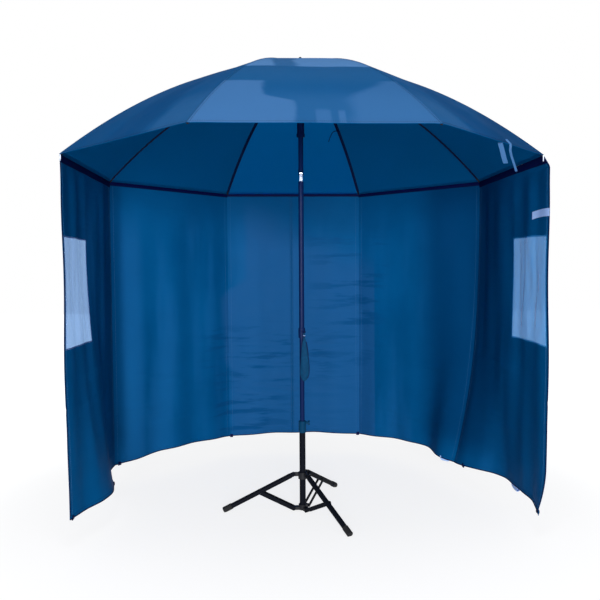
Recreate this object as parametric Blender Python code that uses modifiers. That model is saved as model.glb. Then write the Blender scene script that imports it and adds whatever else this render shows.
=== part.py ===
"""Fishing umbrella tent: an eight-rib umbrella with a side curtain, a tilting telescopic pole and a
folding tripod. Metres, +Z up, +Y towards the closed back. The origin is on the ground under the pole."""

import math

import bmesh
import bpy
from mathutils import Matrix, Vector

for leftover in list(bpy.data.objects):
    bpy.data.objects.remove(leftover, do_unlink=True)

# Gaps between pieces
SEAT_GAP = 0.0003
PIN_GAP = 0.0003
CHEEK_GAP = 0.0004

# Canopy: a dome that steepens towards its rim, flat across each gore
RIB_COUNT = 8
CANOPY_RADIUS = 1.100
CROWN_HEIGHT = 2.150
RIM_HEIGHT = 1.670
CROWN_POWER = 1.950
CLOTH_THICKNESS = 0.0008
CLOTH_GAP = 0.0005
CROWN_HOLE_RADIUS = 0.015
SEAM_MARGIN = 0.0002
CLOTH_ROWS = 12

# Ribs and stretchers
RIB_DIAMETER = 0.005
RIB_TIP_MARGIN = 0.015
RIB_STRAIGHT_REACH = 0.120
RIB_JOINT_RADIUS = 0.500
RIB_JOINT_DROP = 0.015
STRETCHER_DIAMETER = 0.006
EYE_RADIUS = 0.0038
EYE_THICKNESS = 0.0032
EYE_PIN_RADIUS = 0.0009
EYE_SIDES = 12
EYE_HOLE_SIDES = 8
EYE_PIN_SIDES = 6
BLADE_HEIGHT = 0.0056
BLADE_LENGTH = 0.013
CHEEK_THICKNESS = 0.0015
CHEEK_REACH = 0.0045

# Crown: notch, finial and runner
NOTCH_PIVOT_RADIUS = 0.030
NOTCH_PIVOT_DROP = 0.014
NOTCH_RADIUS = 0.0345
NOTCH_HALF_HEIGHT = 0.0080
SLOT_FLOOR_RADIUS = 0.0255
NOTCH_PLUG_LENGTH = 0.030
FINIAL_CAP_RADIUS = 0.040
FINIAL_CAP_HEIGHT = 0.007
FINIAL_TIP_RISE = 0.056
FINIAL_TIP_RADIUS = 0.0075
FINIAL_NECK_RADIUS = 0.006
RUNNER_BORE_RADIUS = 0.0140
RUNNER_RADIUS = 0.0175
RUNNER_GRIP_RADIUS = 0.0200
RUNNER_GRIP_HEIGHT = 0.015
RUNNER_LENGTH = 0.094
CATCH_WIDTH = 0.004
CATCH_HEIGHT = 0.016
CATCH_REACH = 0.0165
CATCH_ROOT_RADIUS = 0.007
CATCH_TRAVEL = 0.003

# Curtain: five panels of the octagon, hung from the rim
CURTAIN_HEM_HEIGHT = 0.135
CORNER_SAG = 0.020
CURTAIN_DROP_GAP = 0.0010
CORNER_MARGIN = 0.0005
LEFT_BULGE = 0.105
LEFT_BULGE_SPAN = 0.82
LEFT_EDGE_LEAN = 0.006
RIGHT_EDGE_LEAN = -0.016
CORNER_PULL = 0.150
CORNER_PULL_SPAN = 0.50
SWAY_POWER = 3
FOLD_DEPTH = 0.018
BACK_FOLDS = 3
WINDOW_WIDTH = 0.340
WINDOW_HEIGHT = 0.470
WINDOW_SILL = 0.860
WINDOW_EDGE = 0.022
WINDOW_GAP = 0.0004

# Pole, from the top down
TOP_TUBE_RADIUS = 0.0120
MID_TUBE_RADIUS = 0.0128
POLE_WALL = 0.0010
LOWER_TOP = 1.300
LOWER_BOTTOM = 0.060
MID_BOTTOM = 0.870
KNUCKLE_BELOW_RUNNER = 0.214

# Tilt knuckle
TILT_PIN_RISE = 0.042
TILT_PIN_RADIUS = 0.0030
LINK_WIDTH = 0.014
LINK_DEPTH = 0.012
LINK_PLUG_LENGTH = 0.040
LINK_COLLAR_HEIGHT = 0.0025
FORK_DROP = 0.011
FORK_RADIUS = 0.0128
FORK_ROOF_RISE = 0.0085
FORK_SHOULDER_RISE = 0.020
FORK_PLUG_LENGTH = 0.030
BUTTON_RADIUS = 0.0030
BUTTON_RISE = 0.016
BUTTON_STAND = 0.0025
BUTTON_TRAVEL = 0.0025

# Clamp between mid and lower pole, and the peg pouch that hangs on it
POLE_CLAMP_RADIUS = 0.0165
POLE_CLAMP_ABOVE = 0.034
POLE_CLAMP_BELOW = 0.016
HOOK_SIDE = 0.010
HOOK_REACH = 0.026
HOOK_RISE = 0.016
HOOK_PEG_RADIUS = 0.0030
HOOK_PEG_LENGTH = 0.016
HOOK_ARM_WIDTH = 0.004
POUCH_LOOP_RADIUS = 0.0015
POUCH_LENGTH = 0.235
POUCH_WIDTH = 0.046
POUCH_DEPTH = 0.022

# Knobs
KNOB_RADIUS = 0.012
KNOB_HEIGHT = 0.009
KNOB_LOBES = 5
KNOB_LOBE_DEPTH = 0.12
SCREW_RADIUS = 0.0030
BOSS_RADIUS = 0.0070
BOSS_REACH = 0.0095

# Stand
STAND_TUBE_RADIUS = 0.0150
STAND_TUBE_WALL = 0.0012
STAND_TUBE_TOP = 0.420
STAND_CLAMP_BOTTOM = 0.388
STAND_CLAMP_TOP = 0.445
STAND_CLAMP_RADIUS = 0.0180
STAND_CLAMP_KNOB_DROP = 0.011
LEG_AZIMUTHS = (60, 180, 300)
LEG_PIVOT_RADIUS = 0.045
HUB_PIVOT_HEIGHT = 0.180
BASE_PIVOT_HEIGHT = 0.012
HUB_RADIUS = 0.0215
HUB_BELOW = 0.022
HUB_ABOVE = 0.010
HUB_LUG_THICKNESS = 0.006
HUB_LUG_RADIUS = 0.010
HUB_KNOB_AZIMUTH = 0
HUB_KNOB_DROP = 0.006
SPIDER_RADIUS = 0.0205
SPIDER_BOTTOM = 0.004
SPIDER_FLOOR = 0.003
SPIDER_HEIGHT = 0.026
LEG_LENGTH = 0.380
LEG_RADIUS = 0.0125
LEG_WALL = 0.0012
LEG_CHEEK_THICKNESS = 0.0025
LEG_CHEEK_HALF_HEIGHT = 0.010
LEG_TUBE_START = 0.016
LEG_PLUG_LENGTH = 0.010
LEG_TUBE_END_MARGIN = 0.012
FOOT_CENTRE_HEIGHT = 0.010
FOOT_RADIUS = 0.0145
FOOT_SLEEVE = 0.040
FOOT_CAP = 0.006
STRUT_WIDTH = 0.019
STRUT_THICKNESS = 0.002
LEG_PIN_RADIUS = 0.0030
ROOT_MARGIN = 0.002
LUG_LIFT = 0.0004
LUG_SIDES = 16

# Worked out from the sizes above
HALF_GORE = math.pi / RIB_COUNT
APOTHEM = CANOPY_RADIUS * math.cos(HALF_GORE)
GORE_WIDTH = 2 * CANOPY_RADIUS * math.sin(HALF_GORE)
CROWN_RISE = CROWN_HEIGHT - RIM_HEIGHT
RIB_RADIUS = RIB_DIAMETER / 2
NOTCH_HEIGHT = CROWN_HEIGHT - NOTCH_PIVOT_DROP
TOP_TUBE_BORE = TOP_TUBE_RADIUS - POLE_WALL
MID_TUBE_BORE = MID_TUBE_RADIUS - POLE_WALL
LOWER_TUBE_RADIUS = MID_TUBE_BORE - PIN_GAP
LOWER_TUBE_BORE = LOWER_TUBE_RADIUS - POLE_WALL
SLOT_WIDTH = EYE_THICKNESS + 2 * CHEEK_GAP
SEAT_SINE = (HUB_PIVOT_HEIGHT - FOOT_CENTRE_HEIGHT) / LEG_LENGTH
LEG_SLOPE = math.asin(SEAT_SINE)
STRUT_LENGTH = (HUB_PIVOT_HEIGHT - BASE_PIVOT_HEIGHT) / (2 * SEAT_SINE)
CURTAIN_TOP = RIM_HEIGHT - CURTAIN_DROP_GAP
CLAMP_KNOB_HEIGHT = MID_BOTTOM - POLE_CLAMP_BELOW / 2
HOOK_HEIGHT = MID_BOTTOM + HOOK_RISE
STAND_KNOB_HEIGHT = STAND_CLAMP_TOP - STAND_CLAMP_KNOB_DROP
HUB_KNOB_HEIGHT = HUB_PIVOT_HEIGHT - HUB_KNOB_DROP

part_collection = bpy.data.collections.new("umbrella_tent")
bpy.context.scene.collection.children.link(part_collection)
workbench = bpy.data.collections.new("cutters")
bpy.context.scene.collection.children.link(workbench)


def dome_height(share):
    """Height of the cloth at a share of the way from the crown to the rim."""
    return CROWN_HEIGHT - CROWN_RISE * share**CROWN_POWER


def dome_slope(share):
    """Rise of the cloth per metre outwards along a rib, so less than nothing."""
    return -CROWN_RISE * CROWN_POWER * share ** (CROWN_POWER - 1) / CANOPY_RADIUS


def ridge_tilt():
    """How far each gore leans away from the rib at the rim, as an angle."""
    fall = dome_slope(1) * CANOPY_RADIUS / APOTHEM
    return math.asin(-fall * math.sin(HALF_GORE) / math.hypot(1, fall))


def dome_shares():
    """The rows of the cloth's mesh, as shares of the way to the rim."""
    first = CROWN_HOLE_RADIUS / APOTHEM
    return [first + (1 - first) * (row / CLOTH_ROWS) ** 0.8 for row in range(CLOTH_ROWS + 1)]


def rib_line(radius):
    """Centre of the rib rod under the cloth's ridge, as (radius, height)."""
    drop = (RIB_RADIUS + CLOTH_THICKNESS + CLOTH_GAP) / math.cos(ridge_tilt())
    share = radius / CANOPY_RADIUS
    slope = dome_slope(share)
    steep = math.hypot(1, slope)
    return radius + slope / steep * drop, dome_height(share) - drop / steep


JOINT_RADIUS, JOINT_ROD_HEIGHT = rib_line(RIB_JOINT_RADIUS)
JOINT_HEIGHT = JOINT_ROD_HEIGHT - RIB_JOINT_DROP
RUNNER_HEIGHT = 2 * JOINT_HEIGHT - NOTCH_HEIGHT
RUNNER_BOTTOM = RUNNER_HEIGHT - RUNNER_LENGTH
KNUCKLE_HEIGHT = RUNNER_BOTTOM - KNUCKLE_BELOW_RUNNER
TILT_HEIGHT = KNUCKLE_HEIGHT + TILT_PIN_RISE
FORK_SHOULDER_HEIGHT = TILT_HEIGHT + FORK_SHOULDER_RISE


def make_material(name, colour, roughness, metallic, alpha=1.0):
    material = bpy.data.materials.new(name)
    material.use_nodes = True
    shader = material.node_tree.nodes["Principled BSDF"]
    shader.inputs["Base Color"].default_value = (*colour, 1.0)
    shader.inputs["Roughness"].default_value = roughness
    shader.inputs["Metallic"].default_value = metallic
    shader.inputs["Alpha"].default_value = alpha
    material.diffuse_color = (*colour, alpha)
    return material


CANOPY_CLOTH = make_material("canopy_cloth", (0.017, 0.107, 0.305), 0.45, 0.0)
CURTAIN_CLOTH = make_material("curtain_cloth", (0.010, 0.085, 0.240), 0.50, 0.0)
WINDOW_FILM = make_material("window_film", (0.250, 0.400, 0.650), 0.10, 0.0, 0.45)
POUCH_CLOTH = make_material("pouch_cloth", (0.005, 0.060, 0.150), 0.70, 0.0)
RIB_FIBRE = make_material("rib_fibreglass", (0.010, 0.012, 0.018), 0.40, 0.0)
STRETCHER_STEEL = make_material("stretcher_steel", (0.012, 0.014, 0.022), 0.35, 0.8)
POLE_ENAMEL = make_material("pole_enamel", (0.004, 0.005, 0.035), 0.25, 0.3)
STAND_ENAMEL = make_material("stand_enamel", (0.018, 0.020, 0.024), 0.50, 0.3)
BLACK_PLASTIC = make_material("black_plastic", (0.008, 0.009, 0.012), 0.50, 0.0)
BRIGHT_CHROME = make_material("bright_chrome", (0.780, 0.800, 0.830), 0.15, 1.0)
FOOT_RUBBER = make_material("foot_rubber", (0.012, 0.012, 0.013), 0.85, 0.0)


def bench_object(mesh, name="stock"):
    """Puts a mesh on the workbench as an object, ready to be cut or joined."""
    obj = bpy.data.objects.new(name, mesh)
    workbench.objects.link(obj)
    return obj


def settled(obj):
    """Keeps an object's evaluated mesh in place of its curve or modifiers, with its faces out."""
    bpy.context.view_layer.update()
    evaluated = obj.evaluated_get(bpy.context.evaluated_depsgraph_get())
    mesh = bpy.data.meshes.new_from_object(evaluated)
    shell = bmesh.new()
    shell.from_mesh(mesh)
    bmesh.ops.remove_doubles(shell, verts=shell.verts, dist=0.000001)
    bmesh.ops.recalc_face_normals(shell, faces=shell.faces)
    shell.to_mesh(mesh)
    shell.free()
    result = bench_object(mesh)
    result.matrix_world = obj.matrix_world.copy()
    bpy.data.objects.remove(obj, do_unlink=True)
    return result


def combined(base, others, operation):
    """Joins or cuts a base object with others and clears those away."""
    for other in others:
        modifier = base.modifiers.new(operation.lower(), "BOOLEAN")
        modifier.operation = operation
        modifier.solver = "EXACT"
        modifier.object = other
    result = settled(base)
    for other in others:
        bpy.data.objects.remove(other, do_unlink=True)
    return result


def joined(base, *others):
    return combined(base, others, "UNION")


def cut(base, *others):
    return combined(base, others, "DIFFERENCE")


def block(size, centre):
    """A box of a given size about its centre."""
    shell = bmesh.new()
    bmesh.ops.create_cube(shell, size=1.0)
    bmesh.ops.scale(shell, vec=size, verts=shell.verts)
    bmesh.ops.translate(shell, vec=centre, verts=shell.verts)
    mesh = bpy.data.meshes.new("block")
    shell.to_mesh(mesh)
    shell.free()
    return bench_object(mesh)


def pin(radius, length, centre, axis, sides=12):
    """A round bar along an axis, about its centre."""
    shell = bmesh.new()
    bmesh.ops.create_cone(
        shell, cap_ends=True, segments=sides, radius1=radius, radius2=radius, depth=length
    )
    turn = Vector((0, 0, 1)).rotation_difference(Vector(axis)).to_matrix()
    bmesh.ops.rotate(shell, cent=(0, 0, 0), matrix=turn, verts=shell.verts)
    bmesh.ops.translate(shell, vec=centre, verts=shell.verts)
    mesh = bpy.data.meshes.new("pin")
    shell.to_mesh(mesh)
    shell.free()
    return bench_object(mesh)


def extruded(corners, along):
    """A flat outline of points drawn out along a vector."""
    shell = bmesh.new()
    face = shell.faces.new([shell.verts.new(corner) for corner in corners])
    grown = bmesh.ops.extrude_face_region(shell, geom=[face])
    moved = [item for item in grown["geom"] if isinstance(item, bmesh.types.BMVert)]
    bmesh.ops.translate(shell, vec=along, verts=moved)
    mesh = bpy.data.meshes.new("outline")
    shell.to_mesh(mesh)
    shell.free()
    return settled(bench_object(mesh))


def tongue(start, end, half_height, thickness, middle=0.0, both_round=False):
    """A flat bar along X from start to end, with a round far end, and a thickness across Y."""
    outline = []
    half_turn = LUG_SIDES // 2
    nose = math.copysign(half_height, end - start)
    for step in range(half_turn + 1):
        angle = math.pi * (step / half_turn - 0.5)
        outline.append((end + nose * math.cos(angle), half_height * math.sin(angle)))
    if both_round:
        outline += [(start + end - reach, -height) for reach, height in outline]
    else:
        outline += [(start, half_height), (start, -half_height)]
    corners = [(reach, middle - thickness / 2, height) for reach, height in outline]
    return extruded(corners, (0, thickness, 0))


def turned(profile, steps=24):
    """A profile of (radius, height) points, down its outer side, turned about the Z axis."""
    points = [(radius, 0, height) for radius, height in profile]
    edges = [(start, start + 1) for start in range(len(points) - 1)]
    if profile[0][0] > 0:
        edges.append((len(points) - 1, 0))
    mesh = bpy.data.meshes.new("turned")
    mesh.from_pydata(points, edges, [])
    obj = bench_object(mesh)
    screw = obj.modifiers.new("turn", "SCREW")
    screw.axis = "Z"
    screw.steps = steps
    screw.render_steps = steps
    screw.use_merge_vertices = True
    screw.merge_threshold = 0.00005
    return settled(obj)


def ring(outer, inner, bottom, top, steps=24):
    return turned([(outer, top), (outer, bottom), (inner, bottom), (inner, top)], steps)


def rod(points, radius, closed=False, roundness=1):
    """A round rod along a list of points, or a closed loop of rod through them."""
    curve = bpy.data.curves.new("rod", "CURVE")
    curve.dimensions = "3D"
    curve.bevel_depth = radius
    curve.bevel_resolution = roundness
    curve.use_fill_caps = not closed
    spline = curve.splines.new("POLY")
    spline.points.add(len(points) - 1)
    for node, point in zip(spline.points, points):
        node.co = (*point, 1)
    spline.use_cyclic_u = closed
    obj = bpy.data.objects.new("rod", curve)
    workbench.objects.link(obj)
    return settled(obj)


def sheet(rows, thickness, skip=lambda row, column: False):
    """A cloth from rows of points, thickened behind its face, with some cells left open."""
    shell = bmesh.new()
    grid = [[shell.verts.new(point) for point in row] for row in rows]
    for row in range(len(rows) - 1):
        for column in range(len(rows[0]) - 1):
            if not skip(row, column):
                corners = (grid[row][column], grid[row + 1][column])
                corners += (grid[row + 1][column + 1], grid[row][column + 1])
                shell.faces.new(corners)
    mesh = bpy.data.meshes.new("sheet")
    shell.to_mesh(mesh)
    shell.free()
    obj = bench_object(mesh)
    solidify = obj.modifiers.new("thickness", "SOLIDIFY")
    solidify.thickness = thickness
    solidify.offset = -1
    solidify.use_even_offset = True
    return settled(obj)


def place(obj, name, material, location=(0, 0, 0), azimuth=0.0):
    """Names a finished piece, gives it its material and stands it at its place."""
    obj.name = name
    obj.data.name = name
    obj.data.materials.clear()
    obj.data.materials.append(material)
    obj.data.shade_smooth()
    obj.data.set_sharp_from_angle(angle=math.radians(35))
    obj.location = location
    obj.rotation_euler = (0, 0, azimuth)
    workbench.objects.unlink(obj)
    part_collection.objects.link(obj)
    return obj


def repeat(pattern, name, material, location, azimuth):
    """Another object on a shared mesh."""
    obj = bench_object(pattern.data)
    return place(obj, name, material, location, azimuth)


def around(azimuth, radius, height):
    return Vector((radius * math.cos(azimuth), radius * math.sin(azimuth), height))


def rib_azimuth(number):
    """Rib 1 is at the front right, and the others follow anticlockwise."""
    return -math.pi / 2 + HALF_GORE + 2 * HALF_GORE * (number - 1)


def eye(centre, blade_direction, blade_length):
    """A flat eye for a pivot pin across Y, with the blade that leads to its rod."""
    direction = Vector(blade_direction).normalized()
    disc = pin(EYE_RADIUS, EYE_THICKNESS, centre, (0, 1, 0), EYE_SIDES)
    blade = block((blade_length, EYE_THICKNESS, BLADE_HEIGHT), (blade_length / 2, 0, 0))
    turn = Vector((1, 0, 0)).rotation_difference(direction).to_matrix().to_4x4()
    blade.matrix_world = Matrix.Translation(centre) @ turn
    return joined(disc, blade)


def make_ribs():
    """A curved rod under the cloth's ridge, with an eye in the notch and a bracket for its stretcher."""
    origin = Vector((NOTCH_PIVOT_RADIUS, 0, NOTCH_HEIGHT))
    radii = [CANOPY_RADIUS * share for share in dome_shares()]
    under_rows = [rib_line(radius) for radius in radii if radius > RIB_STRAIGHT_REACH]
    line = [Vector((radius, 0, height)) - origin for radius, height in under_rows]
    last_span = line[-1] - line[-2]
    line[-1] = line[-1] - last_span.normalized() * RIB_TIP_MARGIN
    inward = line[0].normalized()
    rod_start = inward * (BLADE_LENGTH - 0.002)
    rib = rod([rod_start, *line], RIB_RADIUS)
    joint = Vector((JOINT_RADIUS, 0, JOINT_HEIGHT)) - origin
    cheek_gap = EYE_THICKNESS + 2 * CHEEK_GAP
    bracket_height = RIB_JOINT_DROP + CHEEK_REACH
    bracket_middle = joint + Vector((0, 0, bracket_height / 2 - CHEEK_REACH))
    bracket_size = (2 * CHEEK_REACH, cheek_gap + 2 * CHEEK_THICKNESS, bracket_height)
    bracket = block(bracket_size, bracket_middle)
    slot_roof = EYE_RADIUS + 2 * CHEEK_GAP
    slot_height = slot_roof + 2 * CHEEK_REACH
    slot_middle = joint + Vector((0, 0, slot_roof - slot_height / 2))
    bracket = cut(bracket, block((4 * CHEEK_REACH, cheek_gap, slot_height), slot_middle))
    joint_pin = pin(EYE_PIN_RADIUS, cheek_gap + CHEEK_THICKNESS, joint, (0, 1, 0), EYE_PIN_SIDES)
    rib = joined(rib, eye((0, 0, 0), inward, BLADE_LENGTH), bracket, joint_pin)
    hole = pin(EYE_PIN_RADIUS + PIN_GAP, 2 * EYE_THICKNESS, (0, 0, 0), (0, 1, 0), EYE_HOLE_SIDES)
    rib = cut(rib, hole)
    for number in range(1, RIB_COUNT + 1):
        azimuth = rib_azimuth(number)
        location = around(azimuth, NOTCH_PIVOT_RADIUS, NOTCH_HEIGHT)
        if number == 1:
            place(rib, "rib_1", RIB_FIBRE, location, azimuth)
        else:
            repeat(rib, f"rib_{number}", RIB_FIBRE, location, azimuth)


def make_stretchers():
    """A straight rod from the rib's bracket to the runner, with an eye at each end."""
    origin = Vector((JOINT_RADIUS, 0, JOINT_HEIGHT))
    runner_end = Vector((NOTCH_PIVOT_RADIUS, 0, RUNNER_HEIGHT)) - origin
    along = runner_end.normalized()
    overlap = 0.002
    ends = (along * (BLADE_LENGTH - overlap), runner_end - along * (BLADE_LENGTH - overlap))
    bar = rod(ends, STRETCHER_DIAMETER / 2)
    outer_eye = eye((0, 0, 0), along, BLADE_LENGTH)
    inner_eye = eye(runner_end, -along, BLADE_LENGTH)
    bar = joined(bar, outer_eye, inner_eye)
    holes = []
    for end in ((0, 0, 0), runner_end):
        hole_radius = EYE_PIN_RADIUS + PIN_GAP
        holes.append(pin(hole_radius, 2 * EYE_THICKNESS, end, (0, 1, 0), EYE_HOLE_SIDES))
    bar = cut(bar, *holes)
    for number in range(1, RIB_COUNT + 1):
        azimuth = rib_azimuth(number)
        location = around(azimuth, JOINT_RADIUS, JOINT_HEIGHT)
        if number == 1:
            place(bar, "stretcher_1", STRETCHER_STEEL, location, azimuth)
        else:
            repeat(bar, f"stretcher_{number}", STRETCHER_STEEL, location, azimuth)


def make_canopy():
    """One piece of cloth for each rib: the ridge over it and half a gore on either side."""
    origin = Vector((NOTCH_PIVOT_RADIUS, 0, NOTCH_HEIGHT))
    grid = []
    for share in dome_shares():
        ridge = CANOPY_RADIUS * share
        half_width = ridge * math.sin(HALF_GORE) * math.cos(HALF_GORE) - SEAM_MARGIN
        line = []
        for side in (-half_width, 0, half_width):
            radius = ridge - abs(side) * math.tan(HALF_GORE)
            line.append(Vector((radius, side, dome_height(share))) - origin)
        grid.append(line)
    panel = sheet(grid, CLOTH_THICKNESS)
    for number in range(1, RIB_COUNT + 1):
        azimuth = rib_azimuth(number)
        location = around(azimuth, NOTCH_PIVOT_RADIUS, NOTCH_HEIGHT)
        name = f"canopy_panel_{number}"
        if number == 1:
            place(panel, name, CANOPY_CLOTH, location, azimuth)
        else:
            repeat(panel, name, CANOPY_CLOTH, location, azimuth)


def slotted_head(height_below, height_above):
    """The slots and short pins of a pivot ring, for its eight eyes."""
    slots = []
    pins = []
    reach = NOTCH_RADIUS - SLOT_FLOOR_RADIUS + 0.004
    middle = (height_above - height_below) / 2
    pin_length = SLOT_WIDTH + 0.003
    for number in range(1, RIB_COUNT + 1):
        azimuth = rib_azimuth(number)
        slot = block((reach, SLOT_WIDTH, height_below + height_above + 0.004), (reach / 2, 0, middle))
        slot.location = around(azimuth, SLOT_FLOOR_RADIUS, 0)
        slot.rotation_euler = (0, 0, azimuth)
        slots.append(slot)
        across = (-math.sin(azimuth), math.cos(azimuth), 0)
        pivot = around(azimuth, NOTCH_PIVOT_RADIUS, 0)
        pins.append(pin(EYE_PIN_RADIUS, pin_length, pivot, across, EYE_PIN_SIDES))
    return slots, pins


def make_notch():
    """The slotted ring on top of the upper tube that carries the ribs' inner ends."""
    plug_radius = TOP_TUBE_BORE - SEAT_GAP
    half = NOTCH_HALF_HEIGHT
    spigot = FINIAL_NECK_RADIUS + PIN_GAP
    profile = [
        (spigot, half),
        (NOTCH_RADIUS - 0.001, half),
        (NOTCH_RADIUS, half - 0.001),
        (NOTCH_RADIUS, -half + 0.001),
        (NOTCH_RADIUS - 0.001, -half),
        (plug_radius, -half),
        (plug_radius, -half - NOTCH_PLUG_LENGTH),
        (spigot, -half - NOTCH_PLUG_LENGTH),
    ]
    slots, pins = slotted_head(half, half)
    notch = cut(turned(profile), *slots)
    notch = joined(notch, *pins)
    place(notch, "top_notch", BLACK_PLASTIC, (0, 0, NOTCH_HEIGHT))


def make_finial():
    """The cap that holds the cloth on the crown, with a neck into the notch."""
    base = CLOTH_THICKNESS / 4
    neck_bottom = -NOTCH_PIVOT_DROP - NOTCH_HALF_HEIGHT
    profile = [
        (0, FINIAL_TIP_RISE),
        (FINIAL_TIP_RADIUS * 0.75, FINIAL_TIP_RISE - 0.001),
        (FINIAL_TIP_RADIUS, FINIAL_TIP_RISE - 0.005),
        (FINIAL_TIP_RADIUS, FINIAL_TIP_RISE - 0.012),
        (FINIAL_NECK_RADIUS, FINIAL_TIP_RISE - 0.015),
        (FINIAL_NECK_RADIUS + 0.002, FINIAL_CAP_HEIGHT + 0.006),
        (FINIAL_NECK_RADIUS + 0.006, FINIAL_CAP_HEIGHT + 0.001),
        (FINIAL_CAP_RADIUS * 0.6, FINIAL_CAP_HEIGHT - 0.0005),
        (FINIAL_CAP_RADIUS - 0.002, FINIAL_CAP_HEIGHT * 0.45),
        (FINIAL_CAP_RADIUS, base + 0.001),
        (FINIAL_CAP_RADIUS, base),
        (FINIAL_NECK_RADIUS + 0.004, base),
        (FINIAL_NECK_RADIUS, base - 0.003),
        (FINIAL_NECK_RADIUS, neck_bottom),
        (0, neck_bottom),
    ]
    place(turned(profile, 16), "finial", BLACK_PLASTIC, (0, 0, CROWN_HEIGHT))


def make_runner():
    """The sleeve that slides on the upper tube, with the pivot ring of the stretchers at its top."""
    half = NOTCH_HALF_HEIGHT
    profile = [
        (RUNNER_BORE_RADIUS, half),
        (NOTCH_RADIUS - 0.001, half),
        (NOTCH_RADIUS, half - 0.001),
        (NOTCH_RADIUS, -half + 0.001),
        (NOTCH_RADIUS - 0.001, -half),
        (RUNNER_RADIUS + 0.003, -half - 0.003),
        (RUNNER_RADIUS, -half - 0.010),
        (RUNNER_RADIUS, -RUNNER_LENGTH + RUNNER_GRIP_HEIGHT + 0.003),
        (RUNNER_GRIP_RADIUS, -RUNNER_LENGTH + RUNNER_GRIP_HEIGHT),
        (RUNNER_GRIP_RADIUS, -RUNNER_LENGTH),
        (RUNNER_BORE_RADIUS, -RUNNER_LENGTH),
    ]
    slots, pins = slotted_head(half, half)
    runner = cut(turned(profile), *slots)
    runner = joined(runner, *pins)
    place(runner, "runner", BLACK_PLASTIC, (0, 0, RUNNER_HEIGHT))


def make_runner_catch():
    """The sprung wedge that comes out under the runner, drawn pressed in as when the runner passes."""
    top = RUNNER_BOTTOM - SEAT_GAP
    outline = [
        (CATCH_ROOT_RADIUS, 0),
        (CATCH_ROOT_RADIUS, -CATCH_HEIGHT),
        (TOP_TUBE_RADIUS - 0.0005, -CATCH_HEIGHT),
        (CATCH_REACH, -CATCH_HEIGHT / 4),
        (CATCH_REACH, 0),
    ]
    corners = [(radius, -CATCH_WIDTH / 2, height) for radius, height in outline]
    catch = extruded(corners, (0, CATCH_WIDTH, 0))
    place(catch, "runner_catch", BRIGHT_CHROME, (-CATCH_TRAVEL, 0, top))


def make_top_tube():
    """The upper pole from the tilt fork to the notch, with a window for the catch."""
    bottom = FORK_SHOULDER_HEIGHT + SEAT_GAP
    top = NOTCH_HEIGHT - NOTCH_HALF_HEIGHT - SEAT_GAP
    tube = ring(TOP_TUBE_RADIUS, TOP_TUBE_BORE, 0, top - bottom)
    catch_middle = RUNNER_BOTTOM - SEAT_GAP - CATCH_HEIGHT / 2 - bottom
    window_size = (TOP_TUBE_RADIUS, CATCH_WIDTH + 2 * CHEEK_GAP, CATCH_HEIGHT + 2 * CHEEK_GAP)
    window = block(window_size, (TOP_TUBE_RADIUS, 0, catch_middle))
    place(cut(tube, window), "top_tube", POLE_ENAMEL, (0, 0, bottom))


def make_tilt_fork():
    """The forked foot of the upper tube that turns on the tilt pin."""
    shoulder = FORK_SHOULDER_RISE
    plug_radius = TOP_TUBE_BORE - SEAT_GAP
    profile = [
        (0, shoulder + FORK_PLUG_LENGTH),
        (plug_radius, shoulder + FORK_PLUG_LENGTH),
        (plug_radius, shoulder),
        (FORK_RADIUS, shoulder),
        (FORK_RADIUS, -FORK_DROP + 0.001),
        (FORK_RADIUS - 0.001, -FORK_DROP),
        (0, -FORK_DROP),
    ]
    slot_height = FORK_DROP + FORK_ROOF_RISE + 0.002
    slot_middle = FORK_ROOF_RISE - slot_height / 2
    slot = block((LINK_WIDTH + 2 * CHEEK_GAP, 4 * FORK_RADIUS, slot_height), (0, 0, slot_middle))
    bore = pin(TILT_PIN_RADIUS + PIN_GAP, 4 * FORK_RADIUS, (0, 0, 0), (1, 0, 0))
    place(cut(turned(profile), slot, bore), "tilt_fork", POLE_ENAMEL, (0, 0, TILT_HEIGHT))


def make_tilt_pin():
    tilt_pin = pin(TILT_PIN_RADIUS, 2 * FORK_RADIUS - 0.0008, (0, 0, 0), (1, 0, 0))
    place(tilt_pin, "tilt_pin", BRIGHT_CHROME, (0, 0, TILT_HEIGHT))


def make_tilt_link():
    """The bright bar between the tubes, on a plug in the mid tube, with a bore for its push button."""
    base = -TILT_PIN_RISE
    nose_radius = FORK_ROOF_RISE - 0.0015
    plug_radius = MID_TUBE_BORE - SEAT_GAP
    collar = [
        (0, base + SEAT_GAP + LINK_COLLAR_HEIGHT),
        (MID_TUBE_RADIUS - 0.0008, base + SEAT_GAP + LINK_COLLAR_HEIGHT),
        (MID_TUBE_RADIUS, base + SEAT_GAP + LINK_COLLAR_HEIGHT - 0.0008),
        (MID_TUBE_RADIUS, base + SEAT_GAP),
        (plug_radius, base + SEAT_GAP),
        (plug_radius, base - LINK_PLUG_LENGTH),
        (0, base - LINK_PLUG_LENGTH),
    ]
    bar = block((LINK_WIDTH, LINK_DEPTH, TILT_PIN_RISE - SEAT_GAP), (0, 0, base / 2))
    nose = pin(nose_radius, LINK_WIDTH, (0, 0, 0), (1, 0, 0), 20)
    link = joined(turned(collar, 20), bar, nose)
    bore = pin(TILT_PIN_RADIUS + PIN_GAP, 2 * LINK_WIDTH, (0, 0, 0), (1, 0, 0))
    well_depth = LINK_DEPTH / 2 + BUTTON_TRAVEL + 0.001
    well_middle = (0, -LINK_DEPTH / 2 + well_depth / 2 - 0.001, base + BUTTON_RISE)
    well = pin(BUTTON_RADIUS + PIN_GAP, well_depth + 0.002, well_middle, (0, 1, 0))
    place(cut(link, bore, well), "tilt_link", BRIGHT_CHROME, (0, 0, TILT_HEIGHT))


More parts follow.
